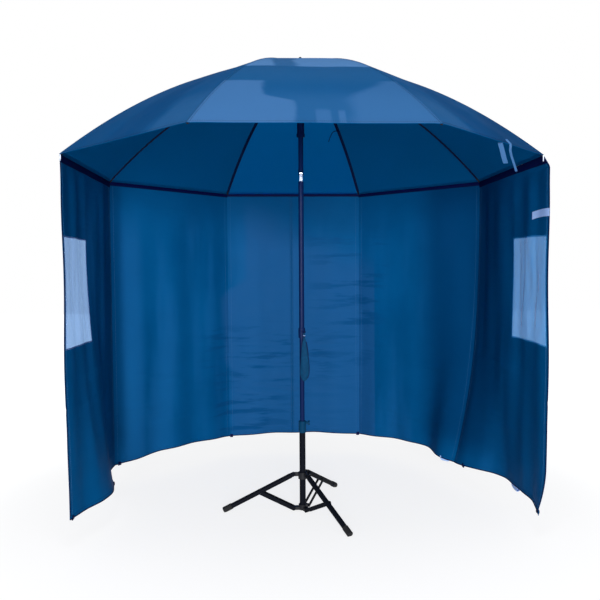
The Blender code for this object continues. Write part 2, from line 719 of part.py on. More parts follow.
def make_tilt_button():
    """The push button in the link's front that frees the knuckle."""
    length = LINK_DEPTH / 2 + BUTTON_STAND
    middle = -LINK_DEPTH / 2 - BUTTON_STAND + length / 2
    button = pin(BUTTON_RADIUS, length, (0, middle, 0), (0, 1, 0))
    place(button, "tilt_button", BRIGHT_CHROME, (0, 0, KNUCKLE_HEIGHT + BUTTON_RISE))


def make_pole_tubes():
    mid_length = KNUCKLE_HEIGHT - MID_BOTTOM
    mid = ring(MID_TUBE_RADIUS, MID_TUBE_BORE, 0, mid_length)
    place(mid, "mid_pole", POLE_ENAMEL, (0, 0, MID_BOTTOM))
    lower = ring(LOWER_TUBE_RADIUS, LOWER_TUBE_BORE, 0, LOWER_TOP - LOWER_BOTTOM)
    place(lower, "lower_pole", POLE_ENAMEL, (0, 0, LOWER_BOTTOM))


def make_pole_clamp():
    """The stepped collar under the mid tube, with a screw boss behind and a hook in front."""
    wide = MID_TUBE_RADIUS + SEAT_GAP
    narrow = LOWER_TUBE_RADIUS + SEAT_GAP
    step = -SEAT_GAP
    profile = [
        (wide, POLE_CLAMP_ABOVE),
        (POLE_CLAMP_RADIUS - 0.0015, POLE_CLAMP_ABOVE),
        (POLE_CLAMP_RADIUS, POLE_CLAMP_ABOVE - 0.003),
        (POLE_CLAMP_RADIUS, -POLE_CLAMP_BELOW + 0.002),
        (POLE_CLAMP_RADIUS - 0.0015, -POLE_CLAMP_BELOW),
        (narrow, -POLE_CLAMP_BELOW),
        (narrow, step),
        (wide, step),
    ]
    knob_level = CLAMP_KNOB_HEIGHT - MID_BOTTOM
    boss_length = POLE_CLAMP_RADIUS + BOSS_REACH - narrow - 0.001
    boss_middle = (0, narrow + 0.001 + boss_length / 2, knob_level)
    boss = pin(BOSS_RADIUS, boss_length, boss_middle, (0, 1, 0), LUG_SIDES)
    bore_middle = (0, POLE_CLAMP_RADIUS + BOSS_REACH / 2, knob_level)
    bore = pin(SCREW_RADIUS + PIN_GAP, 2 * POLE_CLAMP_RADIUS, bore_middle, (0, 1, 0))
    arm_x = HOOK_SIDE + HOOK_PEG_LENGTH / 2
    arm_length = HOOK_REACH - narrow
    arm_size = (HOOK_ARM_WIDTH, arm_length, 2 * HOOK_PEG_RADIUS)
    arm = block(arm_size, (0, -narrow - arm_length / 2, HOOK_RISE))
    peg_start = -HOOK_ARM_WIDTH / 2
    peg_length = arm_x - peg_start
    peg_middle = (peg_start + peg_length / 2, -HOOK_REACH, HOOK_RISE)
    peg = pin(HOOK_PEG_RADIUS, peg_length, peg_middle, (1, 0, 0))
    inside = pin(wide, 2 * POLE_CLAMP_ABOVE, (0, 0, POLE_CLAMP_ABOVE + step), (0, 0, 1), 24)
    clamp = joined(turned(profile), boss, arm, peg)
    clamp = cut(clamp, bore, inside)
    place(clamp, "pole_clamp", BLACK_PLASTIC, (0, 0, MID_BOTTOM))


def lobed_knob(screw_length):
    """A lobed hand knob on a screw: the screw runs along -X from the knob's underside at the origin."""
    steps = KNOB_LOBES * 6
    rim = []
    for step in range(steps):
        angle = 2 * math.pi * step / steps
        radius = KNOB_RADIUS * (1 - KNOB_LOBE_DEPTH + KNOB_LOBE_DEPTH * math.cos(KNOB_LOBES * angle))
        rim.append((0, radius * math.cos(angle), radius * math.sin(angle)))
    head = extruded(rim, (KNOB_HEIGHT, 0, 0))
    overlap = KNOB_HEIGHT / 2
    middle = (overlap - (screw_length + overlap) / 2, 0, 0)
    screw = pin(SCREW_RADIUS, screw_length + overlap, middle, (1, 0, 0))
    return joined(head, screw)


def make_knobs():
    """The three hand knobs: pole clamp, stand clamp and leg hub."""
    seats = (
        ("pole_clamp_knob", POLE_CLAMP_RADIUS, LOWER_TUBE_RADIUS, math.pi / 2, CLAMP_KNOB_HEIGHT),
        ("stand_clamp_knob", STAND_CLAMP_RADIUS, LOWER_TUBE_RADIUS, 0, STAND_KNOB_HEIGHT),
        ("leg_hub_knob", HUB_RADIUS, STAND_TUBE_RADIUS, math.radians(HUB_KNOB_AZIMUTH), HUB_KNOB_HEIGHT),
    )
    for name, collar, pole, azimuth, height in seats:
        underside = collar + BOSS_REACH + SEAT_GAP
        knob = lobed_knob(underside - pole - SEAT_GAP)
        place(knob, name, BLACK_PLASTIC, around(azimuth, underside, height), azimuth)


def make_pouch():
    """The peg pouch: a flat teardrop bag on a loop that hangs from the clamp's hook."""
    loop_inner = HOOK_PEG_RADIUS + PIN_GAP
    loop_middle = loop_inner + POUCH_LOOP_RADIUS
    loop_steps = 12
    loop = []
    for step in range(loop_steps):
        angle = 2 * math.pi * step / loop_steps
        loop.append((0, loop_middle * math.sin(angle), loop_middle * math.cos(angle)))
    eyelet = rod(loop, POUCH_LOOP_RADIUS, closed=True)
    neck_top = -loop_inner - POUCH_LOOP_RADIUS
    half = POUCH_WIDTH / 2
    fill = ((0.16, 0.00), (0.15, 0.05), (0.20, 0.08), (0.46, 0.20), (0.72, 0.36), (0.92, 0.55))
    fill += ((1.00, 0.72), (0.90, 0.86), (0.62, 0.95), (0.25, 0.995))
    profile = [(0, neck_top)]
    profile += [(share * half, neck_top - drop * POUCH_LENGTH) for share, drop in fill]
    profile.append((0, neck_top - POUCH_LENGTH))
    bag = turned(profile, 16)
    bag.scale = (1, POUCH_DEPTH / POUCH_WIDTH, 1)
    pouch = joined(bag, eyelet)
    pouch_mesh = pouch.data
    pouch_mesh.transform(pouch.matrix_world)
    pouch.matrix_world = Matrix.Identity(4)
    place(pouch, "peg_pouch", POUCH_CLOTH, (HOOK_SIDE, -HOOK_REACH, HOOK_HEIGHT))


def make_stand_tube():
    bottom = SPIDER_BOTTOM + SPIDER_FLOOR + SEAT_GAP
    bore = STAND_TUBE_RADIUS - STAND_TUBE_WALL
    tube = ring(STAND_TUBE_RADIUS, bore, 0, STAND_TUBE_TOP - bottom)
    place(tube, "stand_tube", STAND_ENAMEL, (0, 0, bottom))


def make_stand_clamp():
    """The collar on top of the stand tube that grips the lower pole."""
    wide = STAND_TUBE_RADIUS + SEAT_GAP
    narrow = LOWER_TUBE_RADIUS + SEAT_GAP
    bottom = STAND_CLAMP_BOTTOM - STAND_TUBE_TOP
    top = STAND_CLAMP_TOP - STAND_TUBE_TOP
    profile = [
        (narrow, top),
        (STAND_CLAMP_RADIUS - 0.001, top),
        (STAND_CLAMP_RADIUS, top - 0.001),
        (STAND_CLAMP_RADIUS, bottom + 0.004),
        (STAND_CLAMP_RADIUS - 0.001, bottom),
        (wide, bottom),
        (wide, SEAT_GAP),
        (narrow, SEAT_GAP),
    ]
    level = top - STAND_CLAMP_KNOB_DROP
    boss_length = STAND_CLAMP_RADIUS + BOSS_REACH - narrow - 0.001
    boss = pin(BOSS_RADIUS, boss_length, (narrow + 0.001 + boss_length / 2, 0, level), (1, 0, 0), 16)
    bore_length = 2 * STAND_CLAMP_RADIUS
    bore = pin(SCREW_RADIUS + PIN_GAP, bore_length, (0.001 + bore_length / 2, 0, level), (1, 0, 0))
    clamp = cut(joined(turned(profile), boss), bore)
    place(clamp, "stand_clamp", BLACK_PLASTIC, (0, 0, STAND_TUBE_TOP))


def make_leg_hub():
    """The sliding collar that carries the tops of the legs."""
    bore_radius = STAND_TUBE_RADIUS + PIN_GAP
    hub = ring(HUB_RADIUS, bore_radius, -HUB_BELOW, HUB_ABOVE)
    boss_start = bore_radius + ROOT_MARGIN
    lugs = []
    holes = []
    for azimuth_deg in LEG_AZIMUTHS:
        azimuth = math.radians(azimuth_deg)
        across = (-math.sin(azimuth), math.cos(azimuth), 0)
        lug = tongue(boss_start, LEG_PIVOT_RADIUS, HUB_LUG_RADIUS, HUB_LUG_THICKNESS)
        lug.rotation_euler = (0, 0, azimuth)
        lugs.append(lug)
        pivot = around(azimuth, LEG_PIVOT_RADIUS, 0)
        holes.append(pin(LEG_PIN_RADIUS + PIN_GAP, 2 * HUB_LUG_THICKNESS, pivot, across))
    knob_azimuth = math.radians(HUB_KNOB_AZIMUTH)
    outward = around(knob_azimuth, 1, 0)
    boss_length = HUB_RADIUS + BOSS_REACH - boss_start
    boss_middle = around(knob_azimuth, boss_start + boss_length / 2, -HUB_KNOB_DROP)
    boss = pin(BOSS_RADIUS, boss_length, boss_middle, outward, 16)
    bore_middle = around(knob_azimuth, HUB_RADIUS + 0.001, -HUB_KNOB_DROP)
    bore = pin(SCREW_RADIUS + PIN_GAP, 2 * HUB_RADIUS, bore_middle, outward)
    hub = joined(hub, boss, *lugs)
    hub = cut(hub, bore, *holes)
    place(hub, "leg_hub", BLACK_PLASTIC, (0, 0, HUB_PIVOT_HEIGHT))


def make_base_spider():
    """The cup under the stand tube that carries the feet of the struts."""
    wide = STAND_TUBE_RADIUS + SEAT_GAP
    bottom = SPIDER_BOTTOM - BASE_PIVOT_HEIGHT
    cup = [
        (wide, bottom + SPIDER_HEIGHT),
        (SPIDER_RADIUS, bottom + SPIDER_HEIGHT),
        (SPIDER_RADIUS, bottom),
        (0, bottom),
        (0, bottom + SPIDER_FLOOR),
        (wide, bottom + SPIDER_FLOOR),
    ]
    lug_width = 2 * LEG_RADIUS
    lug_radius = BASE_PIVOT_HEIGHT - SPIDER_BOTTOM - LUG_LIFT
    lugs = []
    holes = []
    for azimuth_deg in LEG_AZIMUTHS:
        azimuth = math.radians(azimuth_deg)
        across = (-math.sin(azimuth), math.cos(azimuth), 0)
        lug = tongue(wide, LEG_PIVOT_RADIUS, lug_radius, lug_width)
        lug.rotation_euler = (0, 0, azimuth)
        lugs.append(lug)
        pivot = around(azimuth, LEG_PIVOT_RADIUS, 0)
        holes.append(pin(LEG_PIN_RADIUS + PIN_GAP, 2 * lug_width, pivot, across))
    spider = joined(turned(cup), *lugs)
    space_middle = (0, 0, bottom + SPIDER_FLOOR + SPIDER_HEIGHT)
    tube_space = pin(wide, 2 * SPIDER_HEIGHT, space_middle, (0, 0, 1), 24)
    spider = cut(spider, tube_space, *holes)
    place(spider, "base_spider", BLACK_PLASTIC, (0, 0, BASE_PIVOT_HEIGHT))


def tilted(obj, slope):
    """Leans a piece modelled along +X down by a slope and keeps that in its mesh."""
    obj.data.transform(Matrix.Rotation(slope, 4, "Y"))
    return obj


def make_legs():
    """A tube with a fork at the hub and a cross hole for the strut's pin."""
    tube_end = LEG_LENGTH - LEG_TUBE_END_MARGIN
    cheek_inner = HUB_LUG_THICKNESS / 2 + CHEEK_GAP
    leg = ring(LEG_RADIUS, LEG_RADIUS - LEG_WALL, LEG_TUBE_START, tube_end, 20)
    leg.data.transform(Matrix.Rotation(math.pi / 2, 4, "Y"))
    plug_length = LEG_PLUG_LENGTH
    plug_middle = (LEG_TUBE_START + plug_length / 2, 0, 0)
    plug = pin(LEG_RADIUS - LEG_WALL / 2, plug_length, plug_middle, (1, 0, 0), 20)
    cheeks = []
    cheek_length = LEG_TUBE_START + plug_length / 2
    for side in (-1, 1):
        offset = side * (cheek_inner + LEG_CHEEK_THICKNESS / 2)
        cheeks.append(tongue(cheek_length, 0, LEG_CHEEK_HALF_HEIGHT, LEG_CHEEK_THICKNESS, offset))
    pivot = pin(LEG_PIN_RADIUS, 2 * (cheek_inner + LEG_CHEEK_THICKNESS), (0, 0, 0), (0, 1, 0))
    leg = joined(leg, plug, pivot, *cheeks)
    strut_hole = pin(LEG_PIN_RADIUS + PIN_GAP, 4 * LEG_RADIUS, (STRUT_LENGTH, 0, 0), (0, 1, 0))
    leg = tilted(cut(leg, strut_hole), LEG_SLOPE)
    for number, azimuth_deg in enumerate(LEG_AZIMUTHS, 1):
        azimuth = math.radians(azimuth_deg)
        location = around(azimuth, LEG_PIVOT_RADIUS, HUB_PIVOT_HEIGHT)
        if number == 1:
            place(leg, "leg_1", STAND_ENAMEL, location, azimuth)
        else:
            repeat(leg, f"leg_{number}", STAND_ENAMEL, location, azimuth)


def make_feet():
    """A rubber cap on the end of each leg, flat where it stands on the ground."""
    start = LEG_LENGTH - FOOT_SLEEVE
    floor = LEG_LENGTH - LEG_TUBE_END_MARGIN + SEAT_GAP
    bore = LEG_RADIUS + SEAT_GAP
    end = LEG_LENGTH + FOOT_CAP
    profile = [
        (0, end),
        (FOOT_RADIUS - 0.002, end),
        (FOOT_RADIUS, end - 0.002),
        (FOOT_RADIUS, start + 0.001),
        (FOOT_RADIUS - 0.001, start),
        (bore, start),
        (bore, floor),
        (0, floor),
    ]
    foot = turned(profile)
    foot.data.transform(Matrix.Rotation(math.pi / 2, 4, "Y"))
    foot = tilted(foot, LEG_SLOPE)
    ground = block((1, 1, 0.1), (LEG_LENGTH, 0, -HUB_PIVOT_HEIGHT - 0.05))
    foot = cut(foot, ground)
    for number, azimuth_deg in enumerate(LEG_AZIMUTHS, 1):
        azimuth = math.radians(azimuth_deg)
        location = around(azimuth, LEG_PIVOT_RADIUS, HUB_PIVOT_HEIGHT)
        if number == 1:
            place(foot, "foot_1", FOOT_RUBBER, location, azimuth)
        else:
            repeat(foot, f"foot_{number}", FOOT_RUBBER, location, azimuth)


def make_struts():
    """Two flat strips either side of the leg, with a pin through the base spider and one through the leg."""
    inner = LEG_RADIUS + CHEEK_GAP
    outer = inner + STRUT_THICKNESS
    strips = []
    for side in (-1, 1):
        offset = side * (inner + outer) / 2
        strips.append(tongue(0, STRUT_LENGTH, STRUT_WIDTH / 2, STRUT_THICKNESS, offset, both_round=True))
    pins = []
    for end in (0, STRUT_LENGTH):
        pins.append(pin(LEG_PIN_RADIUS, 2 * inner + STRUT_THICKNESS, (end, 0, 0), (0, 1, 0)))
    strut = joined(*strips, *pins)
    strut = tilted(strut, -LEG_SLOPE)
    for number, azimuth_deg in enumerate(LEG_AZIMUTHS, 1):
        azimuth = math.radians(azimuth_deg)
        location = around(azimuth, LEG_PIVOT_RADIUS, BASE_PIVOT_HEIGHT)
        if number == 1:
            place(strut, "strut_1", STAND_ENAMEL, location, azimuth)
        else:
            repeat(strut, f"strut_{number}", STAND_ENAMEL, location, azimuth)


def left_inset(from_free_edge, hang):
    """How far the left panel leans inwards: its free edge, then a bulge, then nothing at its back corner."""
    along = min(from_free_edge / LEFT_BULGE_SPAN, 1)
    bulge = LEFT_BULGE * math.sin(math.pi * along) ** 1.5
    return hang * LEFT_EDGE_LEAN * (1 - from_free_edge) ** 2 + hang**SWAY_POWER * bulge


def right_inset(from_free_edge, hang):
    """How far the right panel leans inwards, less than nothing at its free edge."""
    return hang * RIGHT_EDGE_LEAN * (1 - from_free_edge) ** 2


def back_inset(across, hang):
    """The soft upright folds of a back panel, deepest at the hem and nothing at the corners."""
    return hang * FOLD_DEPTH * (1 - math.cos(2 * math.pi * BACK_FOLDS * across)) / 2


def corner_pull(from_corner, hang):
    """How far the cloth cuts across the back right corner, at a share of a panel's width from it."""
    near = max(0, 1 - from_corner / CORNER_PULL_SPAN)
    return CORNER_PULL * hang**SWAY_POWER * near**2 * (3 - 2 * near)


def curtain_sheet(levels, stations, inset, hem, pulled_end=None, skip=lambda row, column: False):
    """A hanging panel facing +X about the middle of its top, from heights and shares down to its hem."""
    half = GORE_WIDTH / 2
    rows = []
    for height, share in levels:
        row = []
        for across in stations:
            level = height + (hem(across) - height) * share
            hang = (CURTAIN_TOP - level) / (CURTAIN_TOP - CURTAIN_HEM_HEIGHT)
            depth = -inset(across, hang)
            side = -half + across * GORE_WIDTH
            if pulled_end is not None:
                pull = corner_pull(abs(across - pulled_end), hang)
                depth -= pull
                side += pull * math.tan(HALF_GORE) * (1 - 2 * pulled_end)
            row.append(Vector((depth, side, level - CURTAIN_TOP)))
        rows.append(row)
    return sheet(rows, CLOTH_THICKNESS, skip)


def spread(start, end, steps):
    """Evenly spaced values from start up to, but not with, end."""
    return [start + (end - start) * step / steps for step in range(steps)]


def make_back_curtains():
    """The three back panels. The right one is drawn in at the corner that it shares with the right panel."""
    edge = CORNER_MARGIN / GORE_WIDTH
    stations = spread(edge, 1 - edge, 18) + [1 - edge]
    levels = [(height, 0) for height in spread(CURTAIN_TOP, WINDOW_SILL, 2)]
    levels += [(WINDOW_SILL, share) for share in (0, 0.34, 0.67, 1)]

    def hem(across):
        return CURTAIN_HEM_HEIGHT - CORNER_SAG * (2 * across - 1) ** 2

    turns = (2 * HALF_GORE, 4 * HALF_GORE, 6 * HALF_GORE)
    places = [(around(turn, APOTHEM, CURTAIN_TOP), turn) for turn in turns]
    pulled = curtain_sheet(levels, stations, back_inset, hem, pulled_end=0)
    place(pulled, "curtain_back_right", CURTAIN_CLOTH, *places[0])
    plain = curtain_sheet(levels, stations, back_inset, hem)
    place(plain, "curtain_back", CURTAIN_CLOTH, *places[1])
    repeat(plain, "curtain_back_left", CURTAIN_CLOTH, *places[2])


def make_side_curtains():
    """The two side panels, each with a clear window near its free front edge."""
    edge = CORNER_MARGIN / GORE_WIDTH
    window_start = WINDOW_EDGE / GORE_WIDTH
    window_end = (WINDOW_EDGE + WINDOW_WIDTH) / GORE_WIDTH
    window_top = WINDOW_SILL + WINDOW_HEIGHT
    gap = WINDOW_GAP / GORE_WIDTH
    stations = [edge, *spread(window_start, window_end, 5), *spread(window_end, 1 - edge, 8), 1 - edge]
    levels = [(CURTAIN_TOP, 0), ((CURTAIN_TOP + window_top) / 2, 0)]
    levels += [(height, 0) for height in spread(window_top, WINDOW_SILL, 3)]
    levels += [(WINDOW_SILL, share) for share in (0, 0.25, 0.5, 0.75, 1)]

    def hem(from_free_edge):
        return CURTAIN_HEM_HEIGHT - CORNER_SAG * from_free_edge**3

    def window_cells(row, column):
        return 2 <= row < 5 and 1 <= column < 6

    pane_stations = [*spread(window_start + gap, window_end - gap, 5), window_end - gap]
    pane_levels = [(height, 0) for height in spread(window_top - WINDOW_GAP, WINDOW_SILL + WINDOW_GAP, 3)]
    pane_levels.append((WINDOW_SILL + WINDOW_GAP, 0))
    sides = (("right", 0, right_inset, 1), ("left", math.pi, left_inset, None))
    for side, azimuth, inset, pulled_end in sides:
        panel = curtain_sheet(levels, stations, inset, hem, pulled_end, window_cells)
        pane = curtain_sheet(pane_levels, pane_stations, inset, hem, pulled_end)
        if side == "left":
            for piece in (panel, pane):
                piece.data.transform(Matrix.Scale(-1, 4, (0, 1, 0)))
                piece.data.flip_normals()
        location = around(azimuth, APOTHEM, CURTAIN_TOP)
        place(panel, f"curtain_{side}", CURTAIN_CLOTH, location, azimuth)
        place(pane, f"window_{side}", WINDOW_FILM, location, azimuth)


make_stand_tube()
make_base_spider()
make_stand_clamp()
make_leg_hub()
make_legs()
make_feet()
make_struts()
make_pole_tubes()
make_pole_clamp()
make_knobs()
make_pouch()
make_tilt_link()
make_tilt_button()
make_tilt_pin()
make_tilt_fork()
make_top_tube()
make_runner_catch()
make_runner()
make_notch()
make_finial()
make_ribs()
make_stretchers()
make_canopy()
make_back_curtains()
make_side_curtains()
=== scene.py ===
# %% [markdown]
# # Fishing umbrella with a side curtain
#
# The hard parts, such as the tubes, ribs and tripod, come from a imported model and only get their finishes
# here. The cloth is made here from scratch: an eight-rib canopy, five curtain panels with two clear
# windows, and the ties and bindings that are sewn to them.

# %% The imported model
import math

import bpy
import numpy as np
from mathutils import Matrix, Vector, noise


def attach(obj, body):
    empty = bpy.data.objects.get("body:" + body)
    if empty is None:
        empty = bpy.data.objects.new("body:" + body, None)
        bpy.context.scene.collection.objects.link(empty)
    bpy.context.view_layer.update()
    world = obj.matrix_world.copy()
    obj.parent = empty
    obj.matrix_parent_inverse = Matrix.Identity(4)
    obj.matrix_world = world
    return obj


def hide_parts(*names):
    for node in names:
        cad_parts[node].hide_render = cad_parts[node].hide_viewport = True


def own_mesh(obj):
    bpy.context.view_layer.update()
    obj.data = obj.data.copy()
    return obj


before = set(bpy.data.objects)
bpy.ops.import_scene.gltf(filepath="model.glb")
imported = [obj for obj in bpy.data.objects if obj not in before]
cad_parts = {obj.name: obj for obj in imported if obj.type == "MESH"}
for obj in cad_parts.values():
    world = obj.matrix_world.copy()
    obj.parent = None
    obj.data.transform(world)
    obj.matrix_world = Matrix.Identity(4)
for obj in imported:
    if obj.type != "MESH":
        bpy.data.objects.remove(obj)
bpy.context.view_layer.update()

# %% [markdown]
# The sizes of the cloth are those of the solids that it replaces. The canopy is an octagon whose ribs
# bend down towards the rim, and the curtain hangs from the five back sides of that octagon.

# %% Driving sizes
RIB_COUNT = 8
HALF_GORE = math.pi / RIB_COUNT
CANOPY_RADIUS = 1.100
CROWN_HEIGHT = 2.150
RIM_HEIGHT = 1.670
CROWN_POWER = 1.950
CROWN_HOLE = 0.034
CLOTH = 0.0008
APOTHEM = CANOPY_RADIUS * math.cos(HALF_GORE)
GORE_WIDTH = 2 * CANOPY_RADIUS * math.sin(HALF_GORE)
CURTAIN_TOP = RIM_HEIGHT - 0.001
HEM_HEIGHT = 0.135
CORNER_SAG = 0.020
print(f"canopy {2 * CANOPY_RADIUS:.2f} m across its corners, each side {GORE_WIDTH:.3f} m")

# %% [markdown]
# ## Camera, floor and light
#
# The camera stands a little over three metres in front, at the height of a grown-up's chest, and
# looks a few degrees down. It is turned a little round the object, so that the back sides show unequally.

# %% Camera
CAMERA_DISTANCE = 3.182
CAMERA_YAW = math.radians(2.82)
CAMERA_HEIGHT = 1.189
CAMERA_PITCH = math.radians(2.68)
CAMERA_ROLL = math.radians(-0.34)
SENSOR = 36.0
PIXELS = 600
FOCAL_PIXELS = 653
AXIS_PIXEL = 301.6

camera_data = bpy.data.cameras.new("camera")
camera_data.sensor_width = SENSOR
camera_data.lens = SENSOR * FOCAL_PIXELS / PIXELS
camera = bpy.data.objects.new("camera", camera_data)
bpy.context.scene.collection.objects.link(camera)
camera.location = (
    -CAMERA_DISTANCE * math.sin(CAMERA_YAW),
    -CAMERA_DISTANCE * math.cos(CAMERA_YAW),
    CAMERA_HEIGHT,
)
turn_aside = math.atan((AXIS_PIXEL - PIXELS / 2) / FOCAL_PIXELS)
turned = Matrix.Rotation(-CAMERA_YAW + turn_aside, 4, "Z")
tipped = Matrix.Rotation(math.pi / 2 - CAMERA_PITCH, 4, "X")
rolled = Matrix.Rotation(CAMERA_ROLL, 4, "Z")
camera.rotation_euler = (turned @ tipped @ rolled).to_euler()
bpy.context.scene.camera = camera
print(f"lens {camera_data.lens:.1f} mm")

# %% [markdown]
# ## A short way to write shaders
#
# A material is easier to read as a sum than as a list of nodes. `Wire` holds one socket of a node tree.
# Plus, minus and times on it add Math nodes, and `add` makes any other node from its settings and inputs.


# %% Wires
class Wire:
    """One output socket of a material's nodes, for use in sums."""

    def __init__(self, tree, socket=None):
        self.tree = tree
        self.socket = socket

    def add(self, kind, settings=None, inputs=None, output=0):
        """Adds a node: its settings first, then the values or wires of its input sockets."""
        node = self.tree.nodes.new(kind)
        for name, value in (settings or {}).items():
            setattr(node, name, value)
        for name, value in (inputs or {}).items():
            if isinstance(value, Wire):
                self.tree.links.new(value.socket, node.inputs[name])
            else:
                node.inputs[name].default_value = value
        return Wire(self.tree, node.outputs[output])

    def math(self, operation, *values):
        return self.add("ShaderNodeMath", {"operation": operation}, dict(enumerate(values)))

    def __add__(self, other):
        return self.math("ADD", self, other)

    def __sub__(self, other):
        return self.math("SUBTRACT", self, other)

    def __rsub__(self, other):
        return self.math("SUBTRACT", other, self)

    def __mul__(self, other):
        return self.math("MULTIPLY", self, other)

    def __abs__(self):
        return self.math("ABSOLUTE", self)

    __radd__ = __add__
    __rmul__ = __mul__

    def between(self, low, high):
        """0 below low, 1 above high and smooth between them."""
        ends = {"From Min": low, "From Max": high}
        settings = {"interpolation_type": "SMOOTHSTEP"}
        return self.add("ShaderNodeMapRange", settings, {"Value": self, **ends})

    def noise(self, place, scale, detail=3.0, roughness=0.5):
        inputs = {"Vector": place, "Scale": scale, "Detail": detail, "Roughness": roughness}
        return self.add("ShaderNodeTexNoise", None, inputs)

    def under(self, low, high):
        """1 below low, 0 above high and smooth between them."""
        return (self * -1).between(-high, -low)

    def at_least(self, other):
        """The larger of this wire and another."""
        return self.math("MAXIMUM", self, other)

    def over(self, below, colour):
        """A colour laid over a coloured wire, wherever this wire is 1."""
        return self.add("ShaderNodeMix", {"data_type": "RGBA"}, {0: self, 6: below, 7: (*colour, 1)}, 2)

    def colour(self, start, end):
        """A colour that goes from start to end with this wire."""
        return self.over((*start, 1), end)


# %% [markdown]
# ## Finishes
#
# Every finish starts from a blank material with its own Principled shader, and from the place of each
# point in metres, so that a mark keeps its real size. Only the weave follows the cloth's own directions.


# %% Blank material
def blank(name):
    """An empty material, with its wires and its shader."""
    material = bpy.data.materials.new(name)
    material.use_nodes = True
    tree = material.node_tree
    shader = tree.nodes["Principled BSDF"]
    return material, Wire(tree), shader


def feed(wire, shader, name):
    wire.tree.links.new(wire.socket, shader.inputs[name])


def stretched(wires, factors=(1, 1, 1)):
    """The place of a point in metres, or scaled along each axis so that a noise runs in streaks."""
    place = wires.add("ShaderNodeTexCoord", output="Object")
    return wires.add("ShaderNodeMapping", None, {"Vector": place, "Scale": factors})


def place_along(wires, axis):
    """How far a point lies along an axis of the object, in metres."""
    return wires.add("ShaderNodeSeparateXYZ", None, {"Vector": stretched(wires)}, axis)


def places(wires, count=3):
    """How far aside and how far back a point lies, and its height, in metres."""
    return [place_along(wires, axis) for axis in range(count)]


def bump(wires, height, distance, strength=1.0, normal=None):
    inputs = {"Height": height, "Distance": distance, "Strength": strength}
    if normal is not None:
        inputs["Normal"] = normal
    return wires.add("ShaderNodeBump", None, inputs)


def show_mixed(share, first, second, output="Material Output"):
    """Ends a node tree with a mix of two shaders, where share is how much shows of the second."""
    mixed = second.add("ShaderNodeMixShader", None, {0: share, 1: first, 2: second})
    mixed.tree.links.new(mixed.socket, mixed.tree.nodes[output].inputs[0])


# %% [markdown]
# The canopy and the curtain are coated nylon. It is woven so fine that only a faint grain shows, the
# coating gives it a soft gloss, and light that falls on one side glows through to the other. Each face
# of the canopy and of the curtain gets its own colours and its own gloss.


# %% Coated cloth
WEAVE_PITCH = 0.0011
BANDS_PER_UNIT = 10
RIDGE_SLOPE = math.tan(HALF_GORE)
RIDGE_BLUR = 0.004
SEAM_PLACE = -0.014


def coated_cloth(name, tones, marks, gloss, shine, glow, glow_share, creased):
    """Woven, coated cloth: two tones, marks, gloss, the light that comes through, and creases."""
    material, wires, shader = blank(name)
    metres = stretched(wires)
    tone = wires.noise(metres, 2.6, 4).between(0.25, 0.75)
    fine = wires.noise(metres, 38.0, 3)
    cloth = (tone * 0.8 + fine * 0.2).colour(*tones)
    for mask, colour in marks:
        cloth = mask(wires).over(cloth, colour)
    feed(cloth, shader, "Base Color")
    worn = wires.noise(metres, 9.0, 5).between(0.3, 0.8)
    feed(worn * 0.10 + fine * 0.05 + (gloss - 0.06), shader, "Roughness")
    thread = wires.add("ShaderNodeUVMap", {"uv_map": "cloth"})
    weft = {"wave_type": "BANDS", "bands_direction": "X"}
    warp = {"wave_type": "BANDS", "bands_direction": "Y"}
    pitch = {"Vector": thread, "Scale": 0.5 / WEAVE_PITCH / BANDS_PER_UNIT}
    across = wires.add("ShaderNodeTexWave", weft, pitch, 1)
    along = wires.add("ShaderNodeTexWave", warp, pitch, 1)
    grain = bump(wires, across * 0.5 + along * 0.5, 0.0001, 0.35)
    crumpled = bump(wires, wires.noise(metres, 26.0), 0.0010, 0.25, grain)
    level_creases = wires.noise(stretched(wires, (1, 1, 4)), 5.0, 4, 0.6)
    feed(bump(wires, level_creases, creased, 0.6, crumpled), shader, "Normal")
    shader.inputs["Specular IOR Level"].default_value = shine
    lit = wires.add("ShaderNodeBsdfTranslucent", None, {"Color": (*glow, 1)})
    through = glow_share(wires) if callable(glow_share) else glow_share
    show_mixed(through, Wire(wires.tree, shader.outputs[0]), lit)
    return material


# %% [markdown]
# Old nylon is never one even blue. Each function below is the mask of one mark, 1 where the mark is and 0
# elsewhere. Most of the marks are painted light: reflections, highlights and shade laid into the cloth's
# colour.
# Each is built from the place of a point in metres and some noise, so a mark stays where it is on the
# cloth, from wherever it is looked at.


# %% Marks on the canopy
def wedge(along, across):
    """1 on the gore that lies along one direction, up to its two ridges."""
    return (along * RIDGE_SLOPE - abs(across)).between(0.0, RIDGE_BLUR)


def ragged(wires, scale, detail, reach, factors=(1, 1, 1)):
    """An irregular shift for the edge of a mark, up to half of its reach either way."""
    return wires.noise(stretched(wires, factors), scale, detail) * reach - reach / 2


def front_gore(wires):
    """The middle gore at the front, and how far forward and aside a point of it lies."""
    aside, depth = places(wires, 2)
    forward = depth * -1
    return wedge(forward, aside), forward, aside


def painted_front_reflections(wires):
    """Painted reflections: two pale patches low on the front gore, one along each ridge, and two bars
    between them.
    """
    gore, forward, aside = front_gore(wires)
    wander = ragged(wires, 9.0, 4, 0.05)
    top_edge = (forward + wander * 0.4).between(0.752, 0.766)
    left = (aside * -1 + forward.between(0.855, 0.905) * 0.105 + wander).between(0.160, 0.185)
    right = (aside + forward.between(0.76, 0.90) * 0.130 + wander).between(0.225, 0.285)
    wide_bar = aside.between(-0.002, 0.008) * aside.under(0.048, 0.060) * 0.55
    narrow_bar = aside.between(0.076, 0.084) * aside.under(0.098, 0.108) * 0.70
    bars = wide_bar.at_least(narrow_bar) * (forward + wander * 0.3).between(0.942, 0.962)
    return gore * top_edge * left.at_least(right * 0.6).at_least(bars)


def paler_upper_front(wires):
    """The upper part of the front gore, which is a little paler."""
    gore, forward = front_gore(wires)[:2]
    return gore * forward.under(0.70, 0.90)


